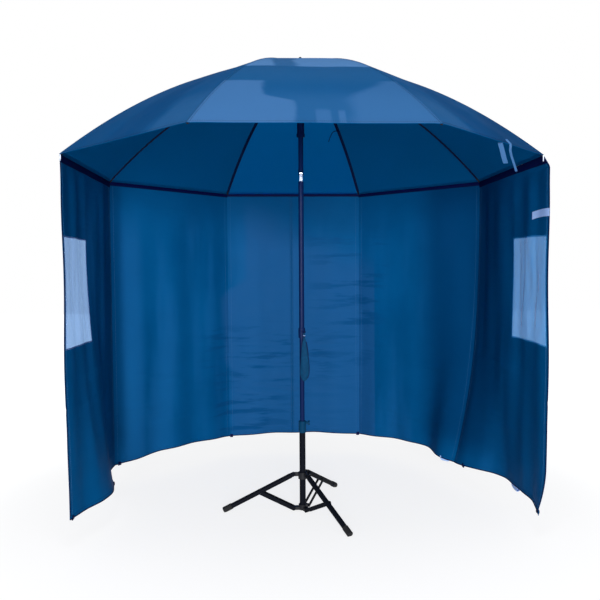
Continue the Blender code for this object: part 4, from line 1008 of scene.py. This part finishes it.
# %% [markdown]
# ## Curtain
#
# The curtain is one long cloth around five sides, hung from the rim. Its panels hang straight from the
# rim at their tops, and lower down they sway in and out. The left one bulges inwards halfway along, so
# that its hem hides the corner behind it. The right one stands out a little at its free front edge, and
# the cloth cuts across the corner at its other end.

# %% Curtain surface
LEFT_BULGE = 0.105
LEFT_BULGE_SPAN = 0.82
LEFT_EDGE_LEAN = 0.006
RIGHT_STAND_OUT = 0.030
STAND_OUT_START = 0.03
RIGHT_CORNER_DROP = 0.028
CORNER_DROP_REACH = 0.10
CORNER_PULL = 0.150
CORNER_PULL_SPAN = 0.50
SWAY_POWER = 3
EDGE_CURL = 0.032
CURL_START = 0.88
CURL_REACH = 0.08
FOLD_DEPTH = 0.018
BACK_FOLDS = 3
CREASE_HEIGHT = 0.0042
CREASE_BOW = 0.03
CREASE_RANGES = {
    "slope": (-0.10, 0.16),
    "middle": (0.15, 0.85),
    "reach": (0.12, 0.30),
    "width": (0.006, 0.014),
    "strength": (0.4, 1.0),
}
print(f"the curtain hangs {CURTAIN_TOP - HEM_HEIGHT:.3f} m down from the rim")


def left_inset(from_free_edge, hang):
    along = np.minimum(from_free_edge / LEFT_BULGE_SPAN, 1)
    bulge = LEFT_BULGE * np.sin(math.pi * along) ** 1.5
    return hang * LEFT_EDGE_LEAN * (1 - from_free_edge) ** 2 + hang**SWAY_POWER * bulge


def right_inset(from_free_edge, hang):
    """The right panel stands out a little at its free edge, and only its lowest corner curls in."""
    low = np.clip((hang - CURL_START) / (1 - CURL_START), 0, 1)
    curl = EDGE_CURL * low**2 * np.exp(-from_free_edge / CURL_REACH)
    out = RIGHT_STAND_OUT * np.minimum(hang / STAND_OUT_START, 1) * (1 - from_free_edge) ** 2
    return curl - out


def corner_pull(from_corner, hang):
    """How far the cloth cuts across the back right corner, at a share of a panel's width from it."""
    near = np.clip(1 - from_corner / CORNER_PULL_SPAN, 0, 1)
    return CORNER_PULL * hang**SWAY_POWER * near**2 * (3 - 2 * near)


def back_inset(across, hang):
    return hang * FOLD_DEPTH * (1 - np.cos(2 * math.pi * BACK_FOLDS * across)) / 2


def creases(across, height, seed, count, low, high):
    """Long shallow storage creases, nearly level, scattered between two heights."""
    draw = np.random.default_rng(seed)
    relief = np.zeros(np.broadcast(across, height).shape)
    for _ in range(count):
        level = draw.uniform(low, high)
        slope, middle, reach, width, strength = (draw.uniform(*ends) for ends in CREASE_RANGES.values())
        line = level + slope * (across - middle) + CREASE_BOW * (across - middle) ** 2
        fade = np.exp(-(((across - middle) / reach) ** 4))
        relief += strength * fade * np.exp(-(((height - line) / width) ** 2))
    return relief


def soft_folds(across, height, upright, scale, seed):
    """A soft relief of hanging cloth, drawn out upwards: a smaller upright share makes it longer."""
    place = np.stack(np.broadcast_arrays(across * GORE_WIDTH, height * upright, 0 * height), axis=2)
    return swell(place, scale, seed)


def curtain_grid(azimuth, stations, drops, shape, mirrored=False, pulled_end=None):
    """Points of a hanging panel, from stations across it and shares of the way down to its hem."""
    inset, hem, relief = shape
    across = np.array(stations)[None, :]
    share = np.array(drops)[:, None]
    bottom = hem(across)
    height = CURTAIN_TOP + (bottom - CURTAIN_TOP) * share
    hang = (CURTAIN_TOP - height) / (CURTAIN_TOP - HEM_HEIGHT)
    depth = APOTHEM - inset(across, hang) - relief(across, height)
    side = (across - 0.5) * GORE_WIDTH * (-1 if mirrored else 1) + 0 * share
    if pulled_end is not None:
        pull = corner_pull(np.abs(across - pulled_end), hang)
        depth = depth - pull
        side = side + pull * math.tan(HALF_GORE) * (1 - 2 * pulled_end)
    x = depth * math.cos(azimuth) - side * math.sin(azimuth)
    y = depth * math.sin(azimuth) + side * math.cos(azimuth)
    grid = np.stack([x, y, height], axis=2)
    return grid[:, ::-1] if mirrored else grid


def back_hem(across):
    return HEM_HEIGHT - CORNER_SAG * (2 * across - 1) ** 2


def left_hem(from_free_edge):
    return HEM_HEIGHT - CORNER_SAG * from_free_edge**3


def right_hem(from_free_edge):
    """As on the left, but the free corner is drawn down towards its peg."""
    return left_hem(from_free_edge) - RIGHT_CORNER_DROP * np.exp(-from_free_edge / CORNER_DROP_REACH)


# %% [markdown]
# A panel is more than its sheet. Its hem is turned up, a tape joins its top edge to the rim, and a line of
# stitches runs beside each seam. The helper below sews all of these to any panel.

# %% Sewing a panel
PANEL_ROWS = 150
PANEL_COLUMNS = 84
PLY_GAP = 0.0003
THREAD_GAP = 0.0001
EDGE_GAP = 0.0008
TAPE_THICKNESS = 0.0016
TAPE_ROUNDING = 0.002
HEM_ROWS = 4
LOOP_OVERLAP = 0.014
# Each kind of loop: its width, drop, how far outside the hem it hangs, its roundness and its material
LOOPS = {
    "peg": (0.018, 0.022, 0.000, 0.0, BINDING),
    "flat": (0.060, 0.026, 0.008, 0.3, PALE_WEBBING),
    "round": (0.095, 0.046, 0.014, 0.7, PALE_WEBBING),
}


def sew_panel(pattern, surface, stations, tape_height):
    """Adds the turned-up hem, the tape along the rim and the seam stitches to a panel's pattern."""
    drops = np.linspace(0, 1, 2 * PANEL_ROWS + 1)
    full = surface(stations, drops)
    outward = grid_normals(full)
    low, low_outward = full[-HEM_ROWS:], outward[-HEM_ROWS:]
    pattern.layer(low, low_outward, CLOTH + PLY_GAP, CLOTH, CURTAIN_OUTSIDE, CURTAIN_INSIDE)
    pattern.stitches(low[0], -low_outward[0], HEM_THREAD, 2 * CLOTH + PLY_GAP + THREAD_GAP)
    pattern.layer(full[-2:], outward[-2:], 2 * CLOTH + EDGE_GAP, CLOTH, BINDING)
    for column in (2, -3):
        pattern.stitches(full[:, column], -outward[:, column], THREAD, CLOTH + THREAD_GAP)
    count = int(tape_height / (CURTAIN_TOP - HEM_HEIGHT) * 2 * PANEL_ROWS) + 2
    roundness = np.sin(math.pi * np.linspace(0, 1, count))[:, None, None]
    behind = CLOTH + PLY_GAP + TAPE_ROUNDING * roundness
    pattern.layer(full[:count], outward[:count], behind, TAPE_THICKNESS, BINDING)


def add_loops(pattern, surface, azimuth, loops):
    """Webbing loops along a panel's hem: narrow dark ones for pegs, and wide pale ones to lift it by."""
    outward = np.array([math.cos(azimuth), math.sin(azimuth), 0])
    across = np.array([-math.sin(azimuth), math.cos(azimuth), 0])
    for station, kind in loops:
        width, drop, set_out, roundness, material = LOOPS[kind]
        place = surface([station], [1.0])[0, 0] + np.array([0, 0, LOOP_OVERLAP]) + outward * set_out
        pattern.peg_loop(place, across, outward, drop, width, material, roundness)


def hang_panel(pattern, body):
    piece = pattern.build(f"{body}_cloth")
    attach(piece, body)
    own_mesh(piece)
    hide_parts(body)
    return piece


# %% [markdown]
# The three back panels are plain cloth. They are kept folded in a bag, so shallow creases run across
# them, most of all low on the middle panel.

# %% Back panels
# Each: its name, the way it faces, the end pulled across a corner, its seed, its count of creases, the
# height of the tape at its top, and the loops along its hem
BACK_PANELS = (
    ("curtain_back_right", 45, 0, 11, 16, 0.020, ((0.08, "flat"),)),
    ("curtain_back", 90, None, 5, 46, 0.014, ((0.012, "peg"), (0.985, "peg"))),
    ("curtain_back_left", 135, None, 7, 14, 0.020, ((0.965, "peg"),)),
)
SEAMED_PANEL = "curtain_back"
SEAM_WIDTH = 0.014
SEAM_THICKNESS = 0.0012
BACK_FOLD_HEIGHT = 0.006
BACK_TOP_FADE = 0.15
BACK_CREASE_TOP = 0.85
EDGE_FADE = 0.04
stations = np.linspace(0, 1, PANEL_COLUMNS + 1)


def add_middle_seam(pattern, surface):
    """The felled seam that joins the middle panel's two widths of cloth, with its rows of stitches."""
    centre = 0.5 - SEAM_PLACE / GORE_WIDTH
    seam_stations = centre + np.array([-0.5, -0.35, 0, 0.35, 0.5]) * SEAM_WIDTH / GORE_WIDTH
    strip = surface(seam_stations, np.linspace(0, 1, PANEL_ROWS + 1))
    outward = grid_normals(strip)
    pattern.layer(strip, outward, CLOTH + PLY_GAP, SEAM_THICKNESS, CURTAIN_INSIDE)
    thick = CLOTH + PLY_GAP + SEAM_THICKNESS
    for column in (1, 3):
        pattern.stitches(strip[:, column], -outward[:, column], THREAD, thick + THREAD_GAP)


for body, degrees, pulled_end, seed, crease_count, tape_height, loops in BACK_PANELS:
    azimuth = math.radians(degrees)

    def back_relief(across, height):
        top_fade = np.clip((CURTAIN_TOP - height) / BACK_TOP_FADE, 0, 1)
        edge_fade = np.clip(np.minimum(across, 1 - across) / EDGE_FADE, 0, 1)
        lines = creases(across, height, seed, crease_count, HEM_HEIGHT, BACK_CREASE_TOP)
        soft = BACK_FOLD_HEIGHT * soft_folds(across, height, upright=0.35, scale=0.16, seed=seed)
        return top_fade * edge_fade * (CREASE_HEIGHT * lines + soft)

    def surface(across, drops):
        return curtain_grid(azimuth, across, drops, (back_inset, back_hem, back_relief), False, pulled_end)

    pattern = Pattern()
    grid = surface(stations, np.linspace(0, 1, PANEL_ROWS + 1))
    pattern.shell(grid, CLOTH, CURTAIN_OUTSIDE, CURTAIN_INSIDE, grid_normals(grid))
    sew_panel(pattern, surface, stations, tape_height)
    add_loops(pattern, surface, azimuth, loops)
    if body == SEAMED_PANEL:
        add_middle_seam(pattern, surface)
    piece = hang_panel(pattern, body)
print(f"back panels: {len(BACK_PANELS)}, each of {PANEL_ROWS} by {PANEL_COLUMNS} cells")

# %% [markdown]
# The side panels have a window each. The cloth has an opening there, bound by a narrow hem, and the film
# is a piece of its own just behind it, so that it can have its own ripples.

# %% Window opening
WINDOW_WIDTH = 0.340
WINDOW_HEIGHT = 0.470
WINDOW_SILL = 0.860
WINDOW_EDGE = 0.022
WINDOW_TOP = WINDOW_SILL + WINDOW_HEIGHT
CELLS_ABOVE = 34
CELLS_DOWN_WINDOW = 47
CELLS_BELOW = 71
CELLS_BEFORE = 2
CELLS_ACROSS_WINDOW = 34
CELLS_BESIDE = 47

first = WINDOW_EDGE / GORE_WIDTH
last = (WINDOW_EDGE + WINDOW_WIDTH) / GORE_WIDTH
side_stations = np.concatenate([
    np.linspace(0, first, CELLS_BEFORE + 1)[:-1],
    np.linspace(first, last, CELLS_ACROSS_WINDOW + 1),
    np.linspace(last, 1, CELLS_BESIDE + 1)[1:],
])
window_top_share = (CURTAIN_TOP - WINDOW_TOP) / (CURTAIN_TOP - HEM_HEIGHT)
window_sill_share = (CURTAIN_TOP - WINDOW_SILL) / (CURTAIN_TOP - HEM_HEIGHT)
side_drops = np.concatenate([
    np.linspace(0, window_top_share, CELLS_ABOVE + 1),
    np.linspace(window_top_share, window_sill_share, CELLS_DOWN_WINDOW + 1)[1:],
    np.linspace(window_sill_share, 1, CELLS_BELOW + 1)[1:],
])
window_holes = np.zeros((len(side_drops) - 1, len(side_stations) - 1), bool)
window_rows = slice(CELLS_ABOVE, CELLS_ABOVE + CELLS_DOWN_WINDOW)
window_holes[window_rows, CELLS_BEFORE:CELLS_BEFORE + CELLS_ACROSS_WINDOW] = True
print(f"window: {int(window_holes.sum())} of {window_holes.size} cells are open")


# %% Shape of the side cloth
SIDE_FOLD_HEIGHT = 0.010
SIDE_FOLD_SEED = 21.0
SIDE_TOP_FADE = 0.12
SIDE_CREASE_SEED = 3
SIDE_CREASE_COUNT = 12
SIDE_CREASE_TOP = 0.80
SIDE_CREASE_SHARE = 0.7
FILM_RIPPLE = 0.004
FILM_SEED = 4.0


def side_relief(across, height):
    top_fade = np.clip((CURTAIN_TOP - height) / SIDE_TOP_FADE, 0, 1)
    edge_fade = np.clip((1 - across) / EDGE_FADE, 0, 1)
    soft = SIDE_FOLD_HEIGHT * soft_folds(across, height, upright=0.25, scale=0.12, seed=SIDE_FOLD_SEED)
    lines = creases(across, height, SIDE_CREASE_SEED, SIDE_CREASE_COUNT, HEM_HEIGHT, SIDE_CREASE_TOP)
    return top_fade * edge_fade * (CREASE_HEIGHT * SIDE_CREASE_SHARE * lines + soft)


def film_relief(across, height):
    """The cloth's own shape, with ripples of the film that die out towards the edges of the window."""
    along = np.clip((across - first) / (last - first), 0, 1)
    held = (16 * along * (1 - along) * np.clip((height - WINDOW_SILL) / WINDOW_HEIGHT, 0, 1)
            * np.clip((WINDOW_TOP - height) / WINDOW_HEIGHT, 0, 1)) ** 0.5
    ripple = FILM_RIPPLE * soft_folds(across, height, upright=0.2, scale=0.035, seed=FILM_SEED)
    return side_relief(across, height) + held * ripple


print(f"the film ripples by up to {FILM_RIPPLE * 1000:.0f} mm")

# %% [markdown]
# The right panel has one thing more: a pale strap above its window, by which the rolled cloth is held.
# It is sewn on level, and its loose end droops a little.

# %% Strap
STRAP_SIDE = "right"
STRAP_HEIGHT = 1.433
STRAP_WIDTH = 0.034
STRAP_LENGTH = 0.150
STRAP_DROOP = 0.008
STRAP_THICKNESS = 0.0012


def add_strap(pattern, surface):
    """The pale strap that is sewn level to the inner face, above the window."""
    strap_stations = np.linspace(0.001, STRAP_LENGTH / GORE_WIDTH, 24)
    centre = (CURTAIN_TOP - STRAP_HEIGHT) / (CURTAIN_TOP - HEM_HEIGHT)
    half = STRAP_WIDTH / 2 / (CURTAIN_TOP - HEM_HEIGHT)
    sheet = surface(strap_stations, np.linspace(centre - half, centre + half, 5))
    sheet[:, :, 2] -= STRAP_DROOP * np.linspace(0, 1, 24)[None, :] ** 3
    outward = grid_normals(sheet)
    behind = CLOTH + PLY_GAP + THREAD_GAP
    pattern.layer(sheet, outward, behind, STRAP_THICKNESS, PALE_WEBBING)
    for row in (0, -1):
        line = sheet[row] - outward[row] * (behind + STRAP_THICKNESS + THREAD_GAP)
        pattern.stitches(line[::-1], -outward[row], THREAD)


print(f"strap: {STRAP_LENGTH:.3f} by {STRAP_WIDTH:.3f} m")

# %% Window film in its opening
FILM_THICKNESS = 0.0004
FILM_GAP = 0.0002
FILM_ROWS = 60
FILM_COLUMNS = 50
FILM_MARGIN_DOWN = 0.004
FILM_MARGIN_ACROSS = 0.006


def make_window(side, surface):
    """The clear film behind the opening of a side panel, as a piece of its own."""
    rows = np.linspace(window_top_share - FILM_MARGIN_DOWN, window_sill_share + FILM_MARGIN_DOWN, FILM_ROWS)
    columns = np.linspace(first - FILM_MARGIN_ACROSS, last + FILM_MARGIN_ACROSS, FILM_COLUMNS)
    film = surface(columns, rows)
    pattern = Pattern()
    pattern.layer(film, grid_normals(film), CLOTH + FILM_GAP, FILM_THICKNESS, WINDOW_FILM)
    piece = pattern.build(f"window_{side}_film")
    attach(piece, f"curtain_{side}")
    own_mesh(piece)
    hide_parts(f"window_{side}")


# %% [markdown]
# All parts of a side panel are ready now. The left one is the right one's mirror image in its layout, but
# each has its own shape, hem and loops.

# %% Side panels
SIDE_TAPE_HEIGHT = 0.026
EDGE_TAPE_SPAN = np.array([0.0, 0.003, 0.006])
# Each: its side, the way it faces, its shape, its hem, whether it is mirrored, its pulled end, its loops
SIDE_PANELS = (
    ("right", 0, right_inset, right_hem, False, 1, ((0.03, "peg"), (0.40, "round"), (0.88, "peg"))),
    ("left", 180, left_inset, left_hem, True, None, ((0.03, "peg"), (0.55, "peg"))),
)

for side, degrees, inset, hem, mirrored, pulled_end, loops in SIDE_PANELS:
    azimuth = math.radians(degrees)

    def surface(across, drops):
        return curtain_grid(azimuth, across, drops, (inset, hem, side_relief), mirrored, pulled_end)

    def film_surface(across, drops):
        return curtain_grid(azimuth, across, drops, (inset, hem, film_relief), mirrored, pulled_end)

    pattern = Pattern()
    holes = window_holes[:, ::-1] if mirrored else window_holes
    grid = surface(side_stations, side_drops)
    pattern.shell(grid, CLOTH, CURTAIN_OUTSIDE, CURTAIN_INSIDE, grid_normals(grid), holes=holes)
    sew_panel(pattern, surface, side_stations, SIDE_TAPE_HEIGHT)
    add_loops(pattern, surface, azimuth, loops)
    edge = surface(EDGE_TAPE_SPAN / GORE_WIDTH, np.linspace(0, 1, PANEL_ROWS + 1))
    pattern.layer(edge, grid_normals(edge), CLOTH + PLY_GAP + THREAD_GAP, CLOTH, BINDING)
    if side == STRAP_SIDE:
        add_strap(pattern, surface)
    piece = hang_panel(pattern, f"curtain_{side}")
    make_window(side, film_surface)
    print(f"{side} panel and its window, {WINDOW_WIDTH:.2f} by {WINDOW_HEIGHT:.2f} m")

# %% [markdown]
# ## Caps, clips and the peg pouch
#
# Each rib ends in a moulded cap that sits in a pocket of the rim. The two ribs above the curtain's free
# edges also have a white clip, to which those edges are hooked.

# %% Rib caps
CAP_LENGTH = 0.026
CAP_RADIUS = 0.0052
CAP_SWELLING = np.array([0.72, 0.80, 0.80, 0.80, 0.80, 0.80, 0.94, 1.0, 1.0, 0.92, 0.72, 0.30])
CAP_INSET = 0.0015
CAP_BELOW_CLOTH = 0.0062
CLIPPED_RIBS = (2, 7)
CLIP_RADIUS = 0.011
CLIP_THICKNESS = 0.0048

for number in range(1, RIB_COUNT + 1):
    azimuth = rib_azimuth(number)
    pattern = Pattern()
    share = np.linspace(0, 1, len(CAP_SWELLING))
    radius = CANOPY_RADIUS - CAP_LENGTH * (1 - share) - CAP_INSET
    height = dome_height(radius / CANOPY_RADIUS) - CAP_BELOW_CLOTH
    path = np.stack([radius * math.cos(azimuth), radius * math.sin(azimuth), height], axis=1)
    tangent = (-math.sin(azimuth), math.cos(azimuth), 0)
    pattern.tube(path, CAP_RADIUS * CAP_SWELLING, BLACK_PLASTIC, 14, across=tangent)
    if number in CLIPPED_RIBS:
        turns = np.linspace(0, 1.7 * math.pi, 18)
        front = np.array(tangent) * -math.copysign(CLIP_RADIUS, tangent[1])
        middle = path[-1] + front - np.array([0, 0, CLIP_RADIUS])
        hook = middle + np.outer(np.sin(turns), tangent) * CLIP_RADIUS
        hook += np.outer(np.cos(turns), (0, 0, 1)) * CLIP_RADIUS
        radial = (math.cos(azimuth), math.sin(azimuth), 0)
        pattern.tube(hook, [CLIP_THICKNESS / 2] * len(hook), WHITE_PLASTIC, 8, across=radial)
    cap = pattern.build(f"rib_cap_{number}")
    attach(cap, f"rib_{number}")
print(f"{RIB_COUNT} caps, {len(CLIPPED_RIBS)} of them with a clip")

# %% [markdown]
# The pouch is a small sewn bag for the pegs. It is gathered at its neck by a cord, and sags to one side
# under the weight of the pegs.

# %% Peg pouch
POUCH_PLACE = np.array([0.010, -0.026, 0.886])
POUCH_NECK = -0.0063
POUCH_LENGTH = 0.235
POUCH_WIDTH = 0.046
POUCH_DEPTH = 0.022
EYELET_RADIUS = 0.0048
EYELET_THICKNESS = 0.0030
WIND_THICKNESS = 0.0022
WIND_RADII = (0.0046, 0.0030)
WIND_TWIST = 0.0006
# Each wind of the cord: how far down the pouch it lies, and its colour
# The pale first wind is a painted highlight: it stands for glints on the dark cord.
NECK_WINDS = ((0.050, PALE_WEBBING), (0.062, DARK_CORD), (0.074, DARK_CORD))
GATHER_REACH = 0.20
PLEATS = 9
PLEAT_DEPTH = 0.16
LUMP_HEIGHT = 0.05
POUCH_SAG = 0.002
SEAM_ROWS = slice(8, -3)
THICK_SEAM = 0.0026
THIN_SEAM = 0.0012
FILL_DROPS = [0.0, 0.05, 0.08, 0.12, 0.20, 0.36, 0.55, 0.72, 0.86, 0.95, 0.985, 1.0]
FILL_SHARES = [0.17, 0.17, 0.16, 0.22, 0.42, 0.68, 0.90, 1.00, 0.90, 0.60, 0.30, 0.04]


def make_pouch():
    """The filled bag with its gathers and lumps, its eyelet, the cord round its neck and its side seams."""
    pattern = Pattern()
    rows, sides = 46, 40
    drop = np.linspace(0, 1, rows)
    angle = np.linspace(0, 2 * math.pi, sides, endpoint=False)
    share = np.interp(drop, FILL_DROPS, FILL_SHARES)
    gathered = np.exp(-((drop / GATHER_REACH) ** 2))
    uneven = np.sin(PLEATS * angle + 0.6 * np.sin(3 * angle))
    folds = 1 + PLEAT_DEPTH * gathered[:, None] * uneven[None, :]
    lumps = 1 + LUMP_HEIGHT * np.sin(4 * angle + 9 * drop[:, None]) * (1 - gathered[:, None])
    radii = share[:, None] * POUCH_WIDTH / 2 * folds * lumps * 0.97
    sway = POUCH_SAG * np.sin(math.pi * drop)
    path = POUCH_PLACE + np.stack([sway, 0 * drop, POUCH_NECK - drop * POUCH_LENGTH], axis=1)
    pattern.tube(path, radii, POUCH_CLOTH, sides, POUCH_DEPTH / POUCH_WIDTH)
    turns = np.linspace(0, 2 * math.pi, 21)
    ring = POUCH_PLACE + np.stack([0 * turns, np.sin(turns), np.cos(turns)], axis=1) * EYELET_RADIUS
    pattern.tube(ring, [EYELET_THICKNESS / 2] * len(ring), DARK_CORD, 8)
    for level, cord in NECK_WINDS:
        middle = path[0] - np.array([0, 0, level * POUCH_LENGTH])
        wide, deep = WIND_RADII
        loop = [wide * np.cos(turns), deep * np.sin(turns), WIND_TWIST * np.sin(2 * turns)]
        wind = middle + np.stack(loop, axis=1)
        pattern.tube(wind, [WIND_THICKNESS / 2] * len(wind), cord, 6, across=(0, 0, 1))
    for side, way, radius in ((0, 1, THICK_SEAM), (sides // 2, -1, THIN_SEAM)):
        reach = radii[SEAM_ROWS, side] * way
        side_seam = path[SEAM_ROWS] + np.stack([reach, 0 * reach, 0 * reach], axis=1)
        pattern.tube(side_seam, [radius] * len(side_seam), DARK_CORD, 8)
    pouch = pattern.build("pouch_bag")
    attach(pouch, "pouch")
    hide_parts("peg_pouch")
    print(f"pouch: {POUCH_LENGTH:.3f} m long, {POUCH_WIDTH:.3f} m wide")


make_pouch()

# %% [markdown]
# ## Floor, backdrop and light
#
# The object is shown on white. The floor and the world are white for the camera, and the floor is so for
# reflections too, while the light itself comes from two soft lamps and a dim sky.


# %% Floor
FLOOR_SIZE = 30.0
FLOOR_GLOW = 1.18
FLOOR_COLOUR = (0.80, 0.80, 0.82)
FLOOR_GAP = 0.0005
SHADE_SHARE = 0.32
SHADE_REACH = (1.3, 2.6)


def white_floor(lit_colour):
    """A floor that the camera sees white, with a share of its real shading left near the object."""
    material, wires, shader = blank("floor_white")
    shader.inputs["Base Color"].default_value = (*lit_colour, 1)
    shader.inputs["Roughness"].default_value = 1.0
    white = wires.add("ShaderNodeEmission", None, {"Color": (1, 1, 1, 1), "Strength": FLOOR_GLOW})
    seen = wires.add("ShaderNodeLightPath", output="Is Camera Ray")
    glossy = wires.add("ShaderNodeLightPath", output="Is Glossy Ray")
    through = wires.add("ShaderNodeLightPath", output="Is Transmission Ray")
    direct = seen.at_least(glossy.at_least(through))
    away = wires.add("ShaderNodeVectorMath", {"operation": "LENGTH"}, {0: stretched(wires)}, 1)
    shaded = away.under(*SHADE_REACH) * SHADE_SHARE
    show_mixed(direct * (1 - shaded), Wire(wires.tree, shader.outputs[0]), white)
    return material


floor_mesh = bpy.data.meshes.new("floor")
reach = FLOOR_SIZE / 2
floor_corners = [(-reach, -reach, 0), (reach, -reach, 0), (reach, reach, 0), (-reach, reach, 0)]
floor_mesh.from_pydata(floor_corners, [], [(0, 1, 2, 3)])
floor_mesh.materials.append(white_floor(FLOOR_COLOUR))
floor = bpy.data.objects.new("floor", floor_mesh)
floor.location = (0, 0, -FLOOR_GAP)
bpy.context.scene.collection.objects.link(floor)
print(f"floor: {FLOOR_SIZE:.0f} m square")

# %% World
SKY_LIGHT = 0.35

world = bpy.data.worlds.new("studio")
bpy.context.scene.world = world
world.use_nodes = True
sky = Wire(world.node_tree)
direct_seen = sky.add("ShaderNodeLightPath", output="Is Camera Ray")
backdrop = sky.add("ShaderNodeBackground", None, {"Color": (1, 1, 1, 1), "Strength": 1.0})
dim = sky.add("ShaderNodeBackground", None, {"Color": (0.92, 0.96, 1.0, 1), "Strength": SKY_LIGHT})
show_mixed(direct_seen, dim, backdrop, "World Output")
print("sky strength:", SKY_LIGHT)


# %% Lamps
def lamp(name, place, aim, size, power):
    """A soft lamp, a rectangle in shape, that points at a place."""
    data = bpy.data.lights.new(name, "AREA")
    data.shape = "RECTANGLE"
    data.size, data.size_y = size
    data.energy = power
    holder = bpy.data.objects.new(name, data)
    holder.location = place
    holder.rotation_euler = (Vector(aim) - Vector(place)).to_track_quat("-Z", "Y").to_euler()
    bpy.context.scene.collection.objects.link(holder)
    print(f"{name}: {power} W, {size[0]} by {size[1]} m")


lamp("front_lamp", (0.0, -9.0, 1.6), (0, 1.0, 0.9), (4.0, 3.0), 960)
lamp("top_panel", (0.0, -1.6, 5.6), (0.0, 0.0, 1.9), (3.0, 2.4), 120)

# %% [markdown]
# ## Last lines
#
# The Standard view keeps colours as they are written.

# %% Finish
bpy.context.scene.view_settings.view_transform = "Standard"
